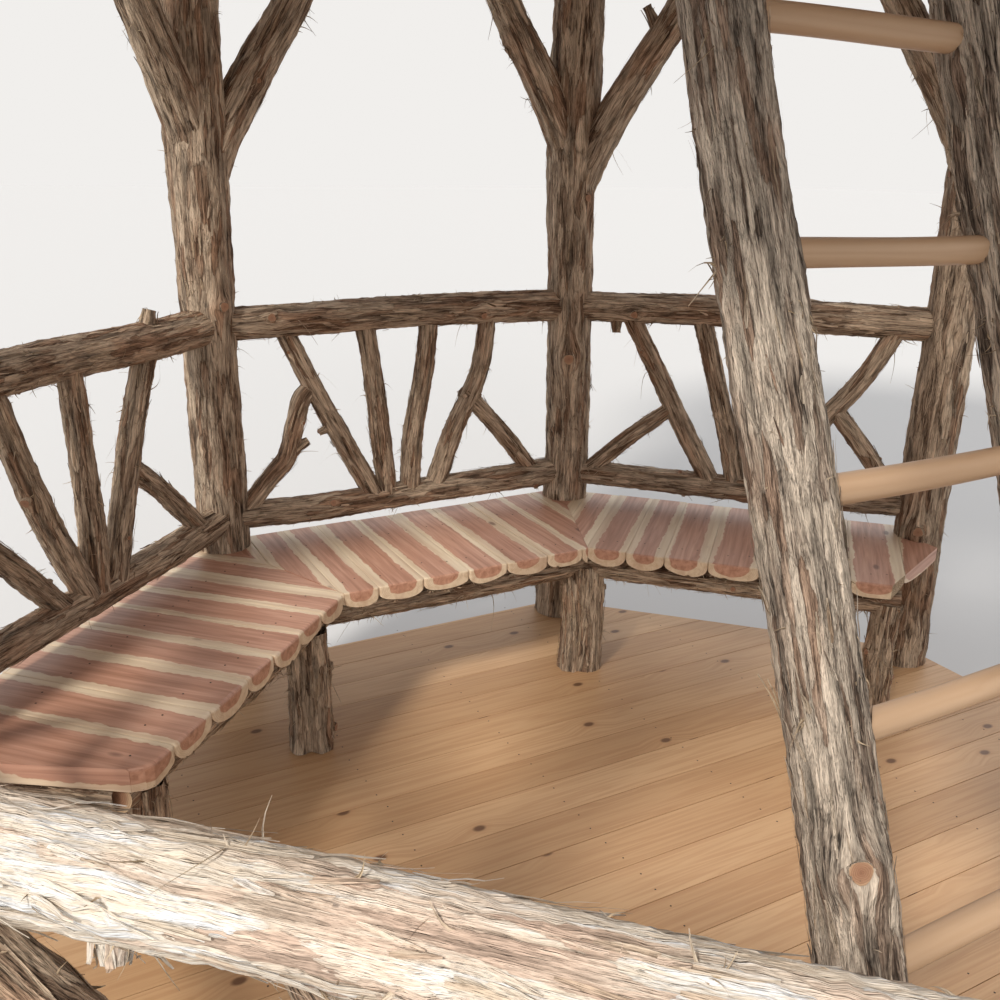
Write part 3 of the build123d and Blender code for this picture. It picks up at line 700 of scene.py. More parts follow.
# Twigs of the bays near the camera, as top and foot, where the photo shows them a little aside
SEEN_TWIGS = {
    0: ((0.66, 0.185), (0.225, 0.11), (-0.14, -0.015), (-0.49, -0.165)),
    1: ((0.78, 0.62), (0.41, 0.035), (-0.01, -0.03), (-0.52, -0.13)),
    3: ((0.70, 0.50), (0.25, 0.44), (-0.17, 0.42), (-0.865, 0.355)),
    7: ((0.665, 0.130), (0.26, -0.005), (-0.22, -0.08), (-0.76, -0.16)),
}
# How far a twig bows aside a third and two thirds of the way up, by bay and twig
BOWS = {
    (0, 0): (0.004, 0.006), (0, 1): (0.0, 0.0), (0, 2): (0.006, -0.006), (0, 3): (-0.008, -0.034),
    (1, 1): (0.014, 0.012), (1, 2): (-0.006, -0.006), (1, 3): (0.010, 0.010),
    (7, 0): (0.006, 0.004), (7, 1): (-0.006, -0.004), (7, 3): (0.0, -0.022),
}
# A brace that curves, as share of half a bay and height: from the low rail up to its twig
CURVED = ((0.88, 0.545), (0.75, 0.632), (0.658, 0.690), (0.610, 0.785), (0.560, 0.868), (0.490, 0.900))
# The foreground top rail, as share of half a bay and drop
PALE_RAIL = ((-1, 0.010), (-0.55, 0.013), (-0.2, 0.008), (0.3, 0.008), (1, 0.004))
# Short cut stubs by bay: share and height of root and tip, and radius
STUBS = {
    1: ((-0.505, 1.098, -0.540, 1.170, 0.018),),
    7: ((0.727, 1.070, 0.722, 1.012, 0.014),),
    0: ((0.655, 0.695, 0.545, 0.735, 0.013), (0.400, 0.768, 0.486, 0.756, 0.010)),
    3: ((-0.402, 1.058, -0.396, 1.021, 0.0115),),
}
# Knots of a rail, by bay and whether it is the top one
RAIL_MARKS = {
    (7, 1): ((0.805, -0.5, 0.018, True), (0.30, -0.3, 0.014, False)),
    (0, 1): ((0.85, 0.1, 0.018, True), (0.40, -0.4, 0.015, False)),
    (0, 0): ((0.72, 0.1, 0.016, True),),
    (3, 1): ((0.315, 0.5, 0.013, False), (0.515, 0.8, 0.010, False), (0.36, -0.4, 0.008, False)),
}


def railing(bay, base, seed, near, across):
    """The logs of one railing. across picks the fan of another bay, for the upper floor."""
    rise, twigs, braces = FANS[(bay + across) % SIDES]
    if near:
        twigs = SEEN_TWIGS[bay]
    soup = Soup()
    rng = np.random.default_rng(seed)
    front = near and bay == 3

    def at(share, z, out=0.0):
        return in_bay(bay, POST_LINE + out, share * HALF_BAY, base + z)

    for upper, z, r, bow in ((1, TOP_RAIL, 0.048, rise / 1000), (0, LOW_RAIL, 0.041, -0.009)):
        line = []
        for e in (-1.0, -0.5, 0.0, 0.5, 1.0):
            loose = 0.0 if abs(e) == 1 else 1.0
            up = z + bow * (1 - e * e) + loose * rng.normal(0, 0.003)
            line.append(at(e, up, loose * rng.normal(0, 0.005)))
        # The foreground top rail takes the pale bark with painted sunlight.
        if front and upper:
            line, r = [at(e, z - drop) for e, drop in PALE_RAIL], 0.0395
            look = dict(around=64, step=0.009, ridge=0.042, lump=0.04, knots=0, hairs=230, peels=300,
                        mat=PALE)
        else:
            look = dict(around=40 if near else 22, step=0.016 if near else 0.032, ridge=0.075, lump=0.06,
                        knots=4, hairs=230 if near else 40)
        stem(soup, line, [r * 1.07, r * 1.05, r, r * 0.98, r * 0.97], seed * 7 + upper,
             marks=RAIL_MARKS.get((bay, upper), ()) if near else (), **look)
    thin = dict(step=0.014 if near else 0.030, ridge=0.09, lump=0.09)
    for n, (top, foot) in enumerate(twigs):
        plain = 0.014 * math.sin(n * 137)
        bows = BOWS.get((bay, n), (plain, plain)) if near else (plain, plain)
        a, b = at(foot, LOW_RAIL), at(top, TOP_RAIL)
        along = in_bay(bay, 0, 1, 0)
        inner = [a + (b - a) * q + along * (bow + rng.normal(0, 0.002)) for q, bow in zip((0.33, 0.66), bows)]
        marks = ((0.53, -0.55, 0.016, True),) if near and (bay, n) == (1, 1) else ()
        stem(soup, [a, *inner, b], [0.033, 0.032, 0.030, 0.029], seed * 11 + n, around=30 if near else 16,
             hairs=80 if near else 16, marks=marks, **thin)
    for n, (foot, number, share) in enumerate(braces):
        top, low = twigs[number]
        head = at(low + share * (top - low), LOW_RAIL + share * (TOP_RAIL - LOW_RAIL))
        line = arc(at(foot, LOW_RAIL), head, (0, 0, 0.010))
        if near and bay == 0 and n == 0:
            line = [at(e, z) for e, z in CURVED]
        radii = [0.028] * (len(line) - 1) + [0.026]
        stem(soup, line, radii, seed * 13 + n, around=26 if near else 14, knots=1, hairs=50 if near else 10,
             **thin)
    for e0, z0, e1, z1, r in STUBS[bay] if near else ():
        a, b = at(e0, z0), at(e1, z1, 0.012 if bay == 3 else -0.004)
        line = [a, a * 0.45 + b * 0.55 + (0, 0, 0.002), b]
        stem(soup, line, [r * 1.9, r * 1.2, r * 0.85], seed * 17, around=22, mat=PALE if bay == 3 else SKIN,
             **dict(STUB_LOOK, hairs=14))
    return soup


for bay, name in enumerate(BAYS):
    for floor, base, across in (("ground", DECK, 0), ("upper", UPPER, SIDES // 2)):
        if (floor, name) != ("ground", "front"):
            near = floor == "ground" and name in ("right", "back_right", "front_right", "back_left")
            soup = railing(bay, base, 300 + bay * 2 + (floor == "upper") * 40, near, across)
            soup.piece(floor + "_railing_" + name, [BARK_RAIL, CUT, BARK_PALE_SUNLIT], "twig_log")


# Bench: half-log slabs on a front log, a rear log and short legs
SEAT_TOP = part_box("bench_seat_right")[1].z
SEAT_FRONT = POST_LINE - 0.479
SEAT_BACK = POST_LINE + 0.044
SEAT_TAIL = POST_LINE - 0.120
FRONT_LINE = SEAT_FRONT + 0.085
END_REACH = 0.085 / math.cos(HALF)
SQUARE_END = 0.522
END_ROUND = 0.034
# The square end is cut askew through this point, in the bay's own directions
SKEW = 0.25
SKEW_OUT = SEAT_FRONT + 0.07
SKEW_ALONG = SQUARE_END - 0.023
SEAM = 0.0004
# Places of the materials on the bench, after the heart side of a slab
SLAB_ENDS, UNDERSIDE, NAILS = 1, 2, 3
# Joints between the slabs of each bay, from its low end to its high end
JOINTS = {
    7: (-0.665, -0.516, -0.367, -0.243, -0.118, 0.030, 0.157, 0.271, 0.392, 0.500, 0.630),
    0: (-0.630, -0.490, -0.366, -0.246, -0.111, 0.013, 0.152, 0.286, 0.394, 0.505, 0.630),
    1: (-0.630, -0.500, -0.376, -0.254, -0.133, -0.010, 0.110, 0.255, 0.388, 0.590),
}


def slab(soup, bay, a, b, seed, cuts):
    """One half-log slab, flat side up, with a rounded arris and a half-moon end, clipped by cut planes."""
    rng = np.random.default_rng(seed)
    thick, wob, front = rng.uniform(0.044, 0.052), rng.uniform(0, 6.3), rng.normal(0, 0.0015)
    thin, deepest, power = rng.uniform(0.017, 0.025), rng.uniform(-0.22, 0.22), rng.uniform(1.75, 2.3)
    split, notch = rng.uniform(-0.5, 0.5), rng.choice((0, 0, 0.006))
    lift, rear = rng.normal(0, 0.0004), SEAT_BACK + rng.uniform(0.006, 0.016)
    centre, half = (a + b) / 2, (b - a) / 2
    arris = 0.008 if bay == 1 else 0.005
    bm = bmesh.new()
    profiles = []
    for e in np.sin(np.linspace(-math.pi / 2, math.pi / 2, 21)):
        x = centre + e * (half - SEAM)
        bulge = 1 - abs((e - deepest) / (1 + deepest if e < deepest else 1 - deepest)) ** power
        under = thin + (thick - thin) * math.sqrt(max(0.0, bulge))
        under -= notch * math.exp(-((e - split) / 0.07) ** 2)
        edge = SEAT_FRONT + front + 0.005 * max(0.0, (abs(e) - 0.90) / 0.10) ** 2
        if bay == 1:
            into = min(END_ROUND, max(0.0, x - (SQUARE_END - END_ROUND - 0.040)))
            edge += END_ROUND - math.sqrt(END_ROUND ** 2 - into ** 2)
        dip = 0.0012 * max(0.0, (abs(e) - 0.94) / 0.06) ** 2
        outline = [(rear * q + edge * (1 - q), 0) for q in (1, 0.75, 0.5, 0.25)]
        for q in np.radians((0, 30, 60, 90)):
            outline.append((edge + arris * (1 - math.sin(q)), arris * (1 - math.cos(q))))
        outline.append((edge, (arris + under) / 2))
        for q in (0, 0.02, 0.25, 0.5, 0.75, 1):
            outline.append((edge + (rear - edge) * q, under * (1 + 0.05 * math.sin(wob + q * 5 + e * 2))))
        profiles.append([bm.verts.new((y, x, SEAT_TOP + lift - depth - (dip if depth < 0.02 else 0)))
                         for y, depth in outline])
    for low, high in zip(profiles, profiles[1:]):
        for k in range(len(low)):
            face = bm.faces.new([low[k], low[k - 1], high[k - 1], high[k]])
            face.material_index = UNDERSIDE if 10 <= k else SLAB_ENDS if 7 <= k else 0
    bm.faces.new(profiles[0])
    bm.faces.new(list(reversed(profiles[-1])))
    for point, normal in cuts:
        geom = list(bm.verts) + list(bm.edges) + list(bm.faces)
        found = bmesh.ops.bisect_plane(bm, geom=geom, plane_co=point, plane_no=normal, dist=1e-6,
                                       clear_outer=True)
        edges = [g for g in found["geom_cut"] if isinstance(g, bmesh.types.BMEdge)]
        if edges and bm.faces:
            bmesh.ops.holes_fill(bm, edges=edges, sides=0)
    if bm.faces:
        bmesh.ops.recalc_face_normals(bm, faces=bm.faces)
        bmesh.ops.triangulate(bm, faces=bm.faces)
        bm.normal_update()
        bm.verts.index_update()
        verts = np.array([vert.co for vert in bm.verts])
        off = rng.uniform(0, 40, 2)
        heart = 0.93 if len(cuts) == 3 else rng.uniform(0.54, 0.78)
        e = (verts[:, 1] - centre) / half - rng.uniform(-0.13, 0.13)
        e -= rng.uniform(-0.3, 0.3) * (verts[:, 0] - SEAT_FRONT)
        down = np.maximum(0, SEAT_TOP - verts[:, 2]) / thick
        uvs = []
        for face in bm.faces:
            n = face.normal
            for vert in face.verts:
                y, x, z = vert.co
                flat = (x, y) if abs(n.z) > 0.5 else (x, z) if abs(n.x) > abs(n.y) else (z, y)
                uvs.append((flat[0] + off[0], flat[1] + off[1]))
        bark = np.stack([verts[:, 1] + off[0], verts[:, 2], verts[:, 0] + off[1]], axis=-1)
        soup.add(turn_to_bay(verts, bay), [[vert.index for vert in face.verts] for face in bm.faces],
                 np.array(uvs).reshape(-1, 3, 2), [face.material_index for face in bm.faces],
                 0.7, rng.uniform(0, 1), bark, np.stack([e, down, np.full(len(verts), heart)], axis=-1))
    bm.free()


def dots(soup, centres, radius, mat, across=np.array([1, 0, 0]), up=np.array([0, 0.9, 0]), rise=0.0004):
    """Heads of nails and bolts: small discs."""
    turn = np.linspace(0, TURN, 8, endpoint=False)[:, None]
    disc = radius * (np.cos(turn) * across + np.sin(turn) * up)
    for centre in centres:
        soup.add(np.vstack([centre + disc, centre + (0, 0, rise)]), fan(8), np.zeros((8, 3, 2)), mat)


def fringe(soup, bay, a, b, rng):
    """Shreds of bark that hang under the front edge of a slab."""
    e = rng.uniform(-0.97, 0.97, 22)
    x = (a + b) / 2 + e * (b - a) / 2
    keep = np.abs(x) < SEAT_FRONT * HALF_TAN + {7: 0.08, 1: 0.11}.get(bay, 0.0)
    x, e = x[keep], e[keep]
    count = len(x)
    if count:
        under = 0.023 + 0.027 * np.sqrt(1 - np.abs(e) ** 2.1)
        base = np.stack([SEAT_FRONT + rng.uniform(0.000, 0.03, count), x, SEAT_TOP - under], axis=-1)
        way = [rng.normal(-0.25, 0.5, count), rng.normal(0, 0.6, count), rng.uniform(-1, -0.15, count)]
        way = np.stack(way, axis=-1)
        bend = rng.normal(0, 0.5, (count, 3))
        q = np.linspace(0, 1, 4)[None, :, None]
        shape = unit(way)[:, None] * q + bend[:, None] * q ** 2
        line = base[:, None] + shape * rng.uniform(0.005, 0.016, (count, 1, 1))
        flat = unit(np.cross(way, rng.normal(0, 1, (count, 3))))[:, None]
        wide = rng.uniform(0.0008, 0.0026, (count, 1)) * (1 - 0.8 * q[..., 0])
        ribbons(soup, turn_to_bay(line, bay), turn_to_bay(flat, bay), wide, UNDERSIDE, np.full(count, 0.6),
                rng.uniform(0.3, 0.9, count), base + 7.0)


def plane(x, y, across_x, across_y):
    """An upright cutting plane through a point. What lies ahead of it is cut off."""
    return Vector((x, y, 0)), Vector((across_x, across_y, 0))


for bay in (7, 0, 1):
    rng = np.random.default_rng(500 + bay)
    soup = Soup()
    low_line = END_REACH if bay == 7 else -SEAM
    cuts = [plane(0, -low_line, -math.sin(HALF), -math.cos(HALF))]
    if bay == 1:
        tilt = math.hypot(1, SKEW)
        cuts.append(plane(SKEW_OUT, SKEW_ALONG, -SKEW / tilt, 1 / tilt))
    else:
        cuts.append(plane(0, -SEAM, -math.sin(HALF), math.cos(HALF)))
    nails = []
    for k, (a, b) in enumerate(zip(JOINTS[bay], JOINTS[bay][1:])):
        tail = bay == 7 and k == 0
        behind = [plane(SEAT_TAIL, -SEAT_TAIL * HALF_TAN - END_REACH, 0.71, -0.70)] if tail else []
        slab(soup, bay, a, b, 600 + bay * 40 + k, cuts + behind)
        fringe(soup, bay, a, min(b, SQUARE_END - 0.04) if bay == 1 else b, rng)
        for out in (FRONT_LINE, POST_LINE - 0.10):
            for part in (0.3, 0.7):
                x = a + (b - a) * part + rng.normal(0, 0.006)
                y = out + rng.normal(0, 0.010)
                end = SKEW_ALONG + SKEW * (y - SKEW_OUT) if bay == 1 else y * HALF_TAN
                if not tail and -y * HALF_TAN - low_line + 0.02 < x < end - 0.02:
                    nails.append(in_bay(bay, y, x, SEAT_TOP + 0.0009))
    dots(soup, nails, 0.0027, NAILS)
    materials = [SLAB, SLAB_END, BARK_RAIL, NAIL]
    soup.piece("bench_seat_" + BAYS[bay], materials, "heart_slab", "slab_seat_" + BAYS[bay], smooth=False)

CORNER = FRONT_LINE * HALF_TAN
BEARER = SQUARE_END - 0.054
LOG_Z = (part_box("bench_front_logs")[0].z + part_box("bench_front_logs")[1].z) / 2
soup = Soup()
for bay, low, high in ((7, -CORNER - END_REACH, CORNER), (0, -CORNER, CORNER), (1, -CORNER, BEARER + 0.004)):
    line = arc(in_bay(bay, FRONT_LINE, low, LOG_Z), in_bay(bay, FRONT_LINE, high, LOG_Z), (0, 0, -0.005))
    stem(soup, line, [0.036, 0.037, 0.036], 700 + bay, around=32, step=0.016, ridge=0.09, lump=0.06, knots=3,
         hairs=420, peels=150, caps=(bay == 7, bay == 1))
line = [in_bay(1, FRONT_LINE, BEARER - 0.012, LOG_Z), in_bay(1, POST_LINE, BEARER + 0.045, LOG_Z)]
stem(soup, line, [0.036, 0.035], 710, around=30, step=0.018, ridge=0.09, hairs=90)
soup.piece("bench_front_logs", [BARK_RAIL, CUT])

ends = {bay: [in_bay(bay, POST_LINE, way * HALF_BAY, LOG_Z) for way in (-1, 1)] for bay in (7, 0, 1)}
logs("bench_back_logs", {bay: arc(*pair) for bay, pair in ends.items()}, [0.036, 0.036, 0.035], 720,
     [BARK_RAIL, CUT], around=28, ridge=0.08, knots=3, hairs=50)

# Legs: bay, end of the bay, how far in from the corner, and radius. The thickest looks double.
LEGS = ((7, -1, -0.060, 0.042), (7, 1, 0.028, 0.044), (0, -1, 0.028, 0.040), (1, -1, 0.100, 0.057),
        (1, 1, 0.020, 0.055))
soup = Soup()
for n, (bay, end, inward, r) in enumerate(LEGS):
    foot = in_bay(bay, FRONT_LINE, end * (CORNER - inward), DECK)
    line = arc(foot, foot + (0, 0, LOG_Z - DECK), (0.006 * math.sin(n * 5), 0.006 * math.cos(n * 5), 0))
    stem(soup, line, [r * 1.07, r * 0.98, r], 740 + n * 3, around=44, step=0.012, ridge=0.12, lump=0.08,
         knots=3, hairs=130, groove=0.34 if r > 0.056 else 0.0)
soup.piece("bench_legs")


# Ladder
LEAN = math.tan(math.radians(20.2))
LADDER_SIDE = -0.043
LADDER_HALF = 0.255
STILE_LENGTH = 3.22
RUNGS = 8
FIRST_RUNG = 0.159
RUNG_STEP = 0.3155
LADDER_MARKS = {
    "back": ((0.195, 0.24, 0.026, True), (0.437, 0.0, 0.009, False), (0.61, 0.1, 0.009, False)),
    "front": ((0.36, 0.2, 0.022, True), (0.52, -0.4, 0.016, False)),
}
# Loose strands on the stile near the camera: height of the root, how far out they reach and how far up
STRANDS = ((0.76, 0.034, 0.100), (0.77, 0.020, 0.085), (1.36, 0.016, 0.050))


def on_ladder(side, h):
    return np.array([-0.874 + h * LEAN, LADDER_SIDE + side, DECK + h])


for side, name, seed in ((-LADDER_HALF, "front", 800), (LADDER_HALF, "back", 801)):
    soup = Soup()
    rng = np.random.default_rng(seed)
    line = [on_ladder(side, h) + (*rng.normal(0, 0.003, 2), 0) for h in np.linspace(0.004, STILE_LENGTH, 9)]
    radii = [0.065, 0.063, 0.060, 0.062, 0.059, 0.059, 0.058, 0.057, 0.056]
    stem(soup, line, radii, seed, around=64, step=0.012, ridge=0.085, knots=0, hairs=460, peels=380,
         caps=(True, True), marks=LADDER_MARKS[name])
    for h, reach, rise in STRANDS if name == "back" else ():
        root = on_ladder(side, h)
        aside = unit(np.cross(EYE - root, (0.0, 0.0, 1.0)))
        q = np.linspace(0, 1, 9)[:, None]
        strand = root + aside * (0.060 + reach * q ** 2) + np.array([LEAN * 0.7, 0, 1.0]) * rise * q
        across = unit(np.cross(np.gradient(strand, axis=0), EYE - root))
        ribbons(soup, strand[None], across[None], 0.0020 * (1 - 0.6 * q.T), SKIN, [0.9], [0.9], [[h, 0.0, h]])
    soup.piece("ladder_stile_" + name, [BARK_LADDER, CUT])


def squarish(v):
    return np.sign(v) * np.abs(v) ** 0.9


soup = Soup()
for n in range(RUNGS):
    rng = np.random.default_rng(820 + n)
    start = on_ladder(-LADDER_HALF, FIRST_RUNG + n * RUNG_STEP)
    cols, rows = 28, 14
    y = np.linspace(0, 2 * LADDER_HALF, rows)
    A, Y = np.meshgrid(np.linspace(0, TURN, cols, endpoint=False), y)
    rx = 0.0228 * (1 + 0.03 * np.sin(Y * 11 + rng.uniform(0, 6)))
    rz = 0.0222 * (1 + 0.03 * np.sin(Y * 9 + rng.uniform(0, 6)))
    X = start[0] + rx * squarish(np.cos(A))
    Z = start[2] + rz * squarish(np.sin(A)) + 0.003 * np.sin(Y * 7 + n)
    quads, uvs = tube(np.arange(cols + 1) / cols * 0.14 + n * 3.1, y + n)
    outward = [0, 3, 2, 1]
    soup.add(np.stack([X, start[1] + Y, Z], axis=-1).reshape(-1, 3), quads[:, outward], uvs[:, outward], 0,
             shade=rng.uniform(0, 1))
soup.piece("ladder_rungs", [RUNG], "peeled_rung", "peeled_rungs")


# Boarded floors: planks along Y with thin seams and nails over the joists
def reach(apothem, x):
    corner = apothem * HALF_TAN
    return apothem if abs(x) <= corner else apothem + corner - abs(x)


def plank_floor(name, node_name, apothem, low, high, seed, nail_lines, hole=()):
    """A floor cut to the octagon and round the hole, which is given as low x, low y, high x and high y."""
    rng = np.random.default_rng(seed)
    soup = Soup()
    pitch, gap, beyond = 0.1225, 0.0022, 9
    corner = apothem * HALF_TAN
    nails = []
    for n in range(-13, 13):
        lo, hi = max(n * pitch + gap / 2, -apothem), min((n + 1) * pitch - gap / 2, apothem)
        if hi - lo < 0.004:
            continue
        tone, step = rng.uniform(0, 1), rng.normal(0, 0.0003)
        breaks = sorted([lo, hi] + [x for x in (-corner, corner, *hole[::2]) if lo < x < hi])
        for xa, xb in zip(breaks, breaks[1:]):
            over_hole = hole and hole[0] < (xa + xb) / 2 < hole[2]
            for s0, s1 in ((-beyond, hole[1]), (hole[3], beyond)) if over_hole else ((-beyond, beyond),):
                ring = [(xa, max(-reach(apothem, xa), s0)), (xa, min(reach(apothem, xa), s1)),
                        (xb, min(reach(apothem, xb), s1)), (xb, max(-reach(apothem, xb), s0))]
                board(soup, [(x, y, low) for x, y in ring], [(x, y, high + min(0, step)) for x, y in ring],
                      0, tone, seed + n, np.array([lo, 0, high]))
        for line in nail_lines:
            for x in (lo + 0.028, hi - 0.028):
                x, y = x + rng.normal(0, 0.003), line + rng.normal(0, 0.004)
                inside = hole and hole[0] < x < hole[2] and hole[1] < y < hole[3]
                if abs(y) < reach(apothem, x) - 0.03 and not inside:
                    nails.append(np.array([x, y, high + 0.0005]))
    dots(soup, nails, 0.0024, 1)
    soup.piece(node_name, [PLANK, NAIL], "cedar_board", name, smooth=False)


DECK_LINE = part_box("deck_boards")[1].x
UPPER_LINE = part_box("upper_floor")[1].x
FRAME_TOP = DECK - 0.032
JOIST_STEP = 0.42
HATCH = (-0.72, LADDER_SIDE - 0.355, 0.13, LADDER_SIDE + 0.355)
DECK_JOISTS = [k * JOIST_STEP for k in range(-3, 4)]
UPPER_JOISTS = (-0.95, LADDER_SIDE - 0.410, LADDER_SIDE + 0.410, 0.95)
plank_floor("planks_deck", "deck_boards", DECK_LINE, FRAME_TOP, DECK, 900, DECK_JOISTS)
plank_floor("planks_upper", "upper_floor", UPPER_LINE, UPPER - 0.030, UPPER, 901, UPPER_JOISTS, HATCH)

# Deck frame: mitred rim boards with bolt heads, and joists
RIM_INSIDE = DECK_LINE - 0.045
soup = Soup()
for bay in range(SIDES):
    plan = ((DECK_LINE, -1), (DECK_LINE, 1), (RIM_INSIDE, 1), (RIM_INSIDE, -1))
    rings = [[in_bay(bay, out, way * out * HALF_TAN, z) for out, way in plan] for z in (0.0, FRAME_TOP)]
    board(soup, *rings, 0, 0.3 + 0.6 * ((bay * 5) % 8) / 8, 940 + bay)
    bolts = [in_bay(bay, DECK_LINE + 0.0006, way * 0.04 + side * (DECK_LINE * HALF_TAN - 0.06), z)
             for side in (-1, 1) for way in (0, side * 0.4) for z in (0.04, 0.11)]
    dots(soup, bolts, 0.0035, 1, in_bay(bay, 0, 1, 0), np.array([0, 0, 1]), 0)
soup.piece("deck_rim", [RIM, NAIL], "cedar_board", "boards_deck_rim", smooth=False)

soup = Soup()
for k in range(-3, 4):
    y0, y1 = k * JOIST_STEP - 0.0225, k * JOIST_STEP + 0.0225
    rings = [[(way * reach(RIM_INSIDE, y), y, z) for way, y in ((-1, y0), (1, y0), (1, y1), (-1, y1))]
             for z in (0.0, FRAME_TOP)]
    board(soup, *rings, 0, 0.4 + 0.05 * k, 960 + k)
soup.piece("deck_joists", [RIM], "cedar_board", "boards_deck_joists", smooth=False)


# Logs under the upper floor, roof plate, rafters and hub
SPOTS = (-1, -0.5, 0, 0.5, 1)


def round_the_posts(height, half, sag=0.0):
    """The line of a log in each bay."""
    return {bay: [in_bay(bay, POST_LINE, e * half, DECK + height - sag * (1 - e * e)) for e in SPOTS]
            for bay in range(SIDES)}


logs("ring_logs", round_the_posts(RING, HALF_BAY, 0.008), [0.057, 0.057, 0.056, 0.056, 0.055], 1000,
     around=32, step=0.026, ridge=0.08, knots=5, hairs=90)

JOIST_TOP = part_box("upper_joists")[1].z
JOIST_Z = JOIST_TOP - 0.038
soup = Soup()
for n, y in enumerate(UPPER_JOISTS):
    x = reach(UPPER_LINE, abs(y) + 0.05)
    stem(soup, [np.array([x * e, y, JOIST_Z]) for e in SPOTS], [0.055, 0.054, 0.055, 0.054, 0.053], 1050 + n,
         around=32, step=0.030, lump=0.04, knots=4, hairs=90, caps=(True, True), top=JOIST_TOP)
for n, x in enumerate((-0.775, 0.115)):
    header = [np.array([x, LADDER_SIDE + way * 0.40, JOIST_Z]) for way in (-1, 0, 1)]
    stem(soup, header, [0.054, 0.053, 0.054], 1060 + n, around=30, step=0.026, lump=0.04, hairs=30,
         top=JOIST_TOP)
soup.piece("upper_joists")

logs("roof_plate", round_the_posts(PLATE, HALF_BAY * 1.03), [0.057, 0.058, 0.057, 0.057, 0.057], 1020,
     around=30, step=0.032, ridge=0.06, lump=0.03, knots=4, hairs=40)

hub_low, hub_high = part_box("roof_hub")
hub = [np.array([0, 0, hub_low.z]), np.array([0, 0, hub_high.z - 0.03])]
logs("roof_hub", {0: hub}, [0.089, 0.088], 1040, around=44, step=0.02, ridge=0.05, lump=0.03, hairs=40,
     caps=(True, False))

ROOF_TAN = math.tan(math.radians(32))
ROOF_COS = math.cos(math.radians(32))
HIP_TAN = ROOF_TAN * math.cos(HALF)
RAFTER_Z = PLATE + 0.058 + 0.046 - 0.012
UNDER_APEX = RAFTER_Z + POST_CIRCLE * HIP_TAN + 0.034 / math.cos(math.atan(HIP_TAN))
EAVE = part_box("roof_boards")[1].x
hip_tip, hip_head = EAVE / math.cos(HALF) - 0.08, 0.06
common_tip, common_head = EAVE - 0.08, 0.25
common_z = UNDER_APEX - (0.034 / ROOF_COS + 0.004)
for name, turn, low, high, seed in (
    ("hip", 22.5, (hip_tip, RAFTER_Z - (hip_tip - POST_CIRCLE) * HIP_TAN - 0.004),
     (hip_head, RAFTER_Z + (POST_CIRCLE - hip_head) * HIP_TAN - 0.004), 1100),
    ("common", 0.0, (common_tip, common_z - common_tip * ROOF_TAN),
     (common_head, common_z - common_head * ROOF_TAN), 1120),
):
    ends = {n: [polar(out, turn + 45 * n, DECK + z) for out, z in (low, high)] for n in range(SIDES)}
    lines = {n: arc(*pair, (0, 0, -0.003)) for n, pair in ends.items()}
    logs(name + "_rafters", lines, [0.041, 0.043, 0.041], seed, around=24, step=0.036, lump=0.03, knots=3,
         hairs=36, caps=(True, False))


# Roof: sheathing boards over the rafters, courses of split shingles, and caps along the hips
def on_roof(bay, out, x, lift):
    return in_bay(bay, out, x, DECK + UNDER_APEX - out * ROOF_TAN + lift)


def on_slope(bay, *ends):
    """Four corners from two ends, each as distance out, low side, high side and lift."""
    (out, a0, a1, low), (head, b0, b1, high) = ends
    corners = ((out, a0, low), (head, b0, high), (head, b1, high), (out, a1, low))
    return [on_roof(bay, *corner) for corner in corners]


SHEATHING_WIDTH = 0.118
COURSE = 0.1145
SHINGLE_LENGTH = 0.150
CAP_STEP = 0.130
CAP_LENGTH = 0.165
CAP_WIDTH = 0.075
soup = Soup()
rng = np.random.default_rng(1200)
for bay in range(SIDES):
    out = EAVE
    while out > 0.02:
        inner = max(0.0, out - SHEATHING_WIDTH)
        plan = ((out, -1), (out, 1), (inner, 1), (inner, -1))
        rings = [[on_roof(bay, o, way * o * HALF_TAN, z) for o, way in plan] for z in (0.0006, 0.026)]
        board(soup, *rings, 0, rng.uniform(0, 1), rng.integers(1, 9999))
        out = inner - 0.0015
    course, out = 0, EAVE + 0.010
    while out > 0.04:
        head = max(0.0, out - SHINGLE_LENGTH)
        x = -out * HALF_TAN - rng.uniform(0, 0.08)
        while x < out * HALF_TAN:
            x1 = x + rng.uniform(0.07, 0.145)
            butt = out + rng.normal(0, 0.0025) if course else out
            a0, a1 = np.clip([x, x1 - 0.003], -butt * HALF_TAN, butt * HALF_TAN)
            b0, b1 = np.clip([x, x1 - 0.003], -head * HALF_TAN, head * HALF_TAN)
            if a1 - a0 > 0.006:
                thick = rng.uniform(0.009, 0.013)
                low = on_slope(bay, (butt, a0, a1, 0.027), (head, b0, b1, 0.024))
                high = on_slope(bay, (butt, a0, a1, 0.040 + thick), (head, b0, b1, 0.030))
                board(soup, low, high, 1, rng.uniform(0, 1), rng.integers(1, 9999))
            x = x1
        out -= COURSE
        course += 1
    for way in (-1, 1):
        out = EAVE + 0.012
        while out > 0.03:
            head = max(0.0, out - CAP_LENGTH)
            sides = [(way * max(0.0, o * HALF_TAN - CAP_WIDTH), way * o * HALF_TAN) for o in (out, head)]
            low, high = (on_slope(bay, (out, *sides[0], 0.030 + butt), (head, *sides[1], 0.030 + top))
                         for butt, top in ((0, 0), (0.034, 0.022)))
            board(soup, low, high, 1, rng.uniform(0, 1), rng.integers(1, 9999))
            out -= CAP_STEP
soup.piece("roof_boards", [SHEATHING, SHINGLE], "roof_cedar", "shingle_roof", smooth=False)


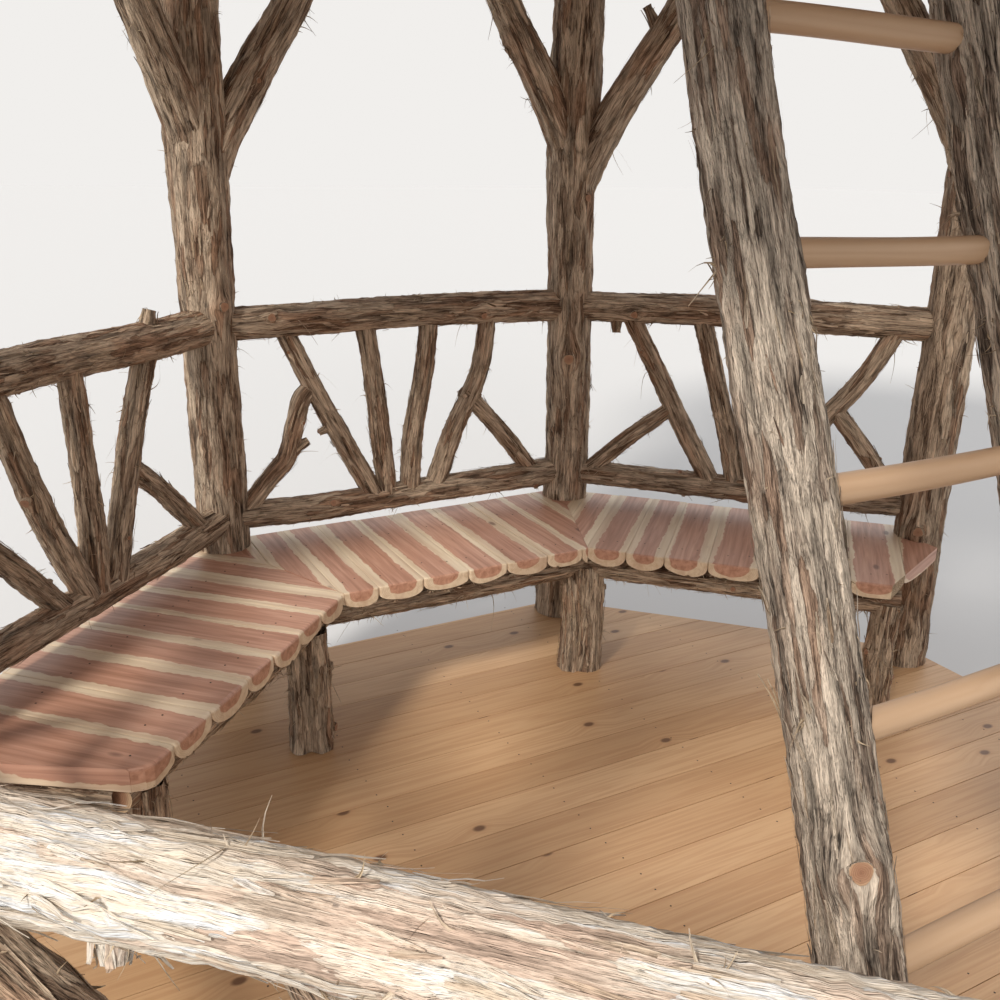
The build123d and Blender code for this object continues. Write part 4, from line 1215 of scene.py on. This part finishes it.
# Camera at the photo's viewing angle
pitch, swing, roll = math.radians(18.56), math.radians(-28.4), math.radians(0.99)
forward = np.array([math.cos(pitch) * math.cos(swing), math.cos(pitch) * math.sin(swing), -math.sin(pitch)])
level = np.array([math.sin(swing), -math.cos(swing), 0.0])
over = np.cross(level, forward)
right = level * math.cos(roll) + over * math.sin(roll)
up = over * math.cos(roll) - level * math.sin(roll)
camera_data = bpy.data.cameras.new("camera")
camera_data.sensor_width = 36
camera_data.lens = 36.58
camera_data.clip_start = 0.02
camera = placed("camera", camera_data)
camera.matrix_world = Matrix([[right[k], up[k], -forward[k], EYE[k]] for k in range(3)] + [[0, 0, 0, 1]])
bpy.context.scene.camera = camera

# Pale floor and soft studio light
FLOOR_HALF, FLOOR_Z = 60, -0.0005
floor_mesh = bpy.data.meshes.new("studio_floor")
corners = [(x * FLOOR_HALF, y * FLOOR_HALF, FLOOR_Z) for x, y in ((-1, -1), (1, -1), (1, 1), (-1, 1))]
floor_mesh.from_pydata(corners, [], [(0, 1, 2, 3)])
floor = placed("studio_floor", floor_mesh)
material, tree = new_material("studio_floor")
floor_mesh.materials.append(finish(material, {"Base Color": (0.585, 0.58, 0.572, 1), "Roughness": 0.9}))

world = bpy.data.worlds.new("studio")
bpy.context.scene.world = world
world.use_nodes = True
tree = world.node_tree
ambient = tree.nodes["Background"]
ambient.inputs["Color"].default_value = (0.93, 0.93, 0.95, 1)
ambient.inputs["Strength"].default_value = 0.74
backdrop = node(tree, "Background", {"Color": (0.880, 0.861, 0.839, 1), "Strength": 1.0})
seen, glossy, clear = (node(tree, "LightPath", {}, "Is " + kind + " Ray")
                       for kind in ("Camera", "Glossy", "Transmission"))
seen = calc("MAXIMUM", seen, calc("MAXIMUM", glossy, clear))
shown = node(tree, "MixShader", {0: seen, 1: Out(ambient.outputs[0]), 2: backdrop})
tree.links.new(shown.socket, tree.nodes["World Output"].inputs["Surface"])


def sun(name, azimuth, height, strength, angle, colour):
    data = bpy.data.lights.new(name, "SUN")
    data.energy = strength
    data.angle = math.radians(angle)
    data.color = colour
    obj = placed(name, data)
    a, h = math.radians(azimuth), math.radians(height)
    towards = Vector((math.cos(a) * math.cos(h), math.sin(a) * math.cos(h), math.sin(h)))
    obj.rotation_mode = "QUATERNION"
    obj.rotation_quaternion = towards.to_track_quat("Z", "Y")


sun("key", 125, 40, 2.8, 9, (1.0, 0.96, 0.90))
sun("side", 160, 24, 0.7, 40, (1.0, 0.98, 0.95))
sun("fill", -60, 45, 0.5, 40, (0.93, 0.96, 1.0))

bpy.context.scene.view_settings.view_transform = "Standard"
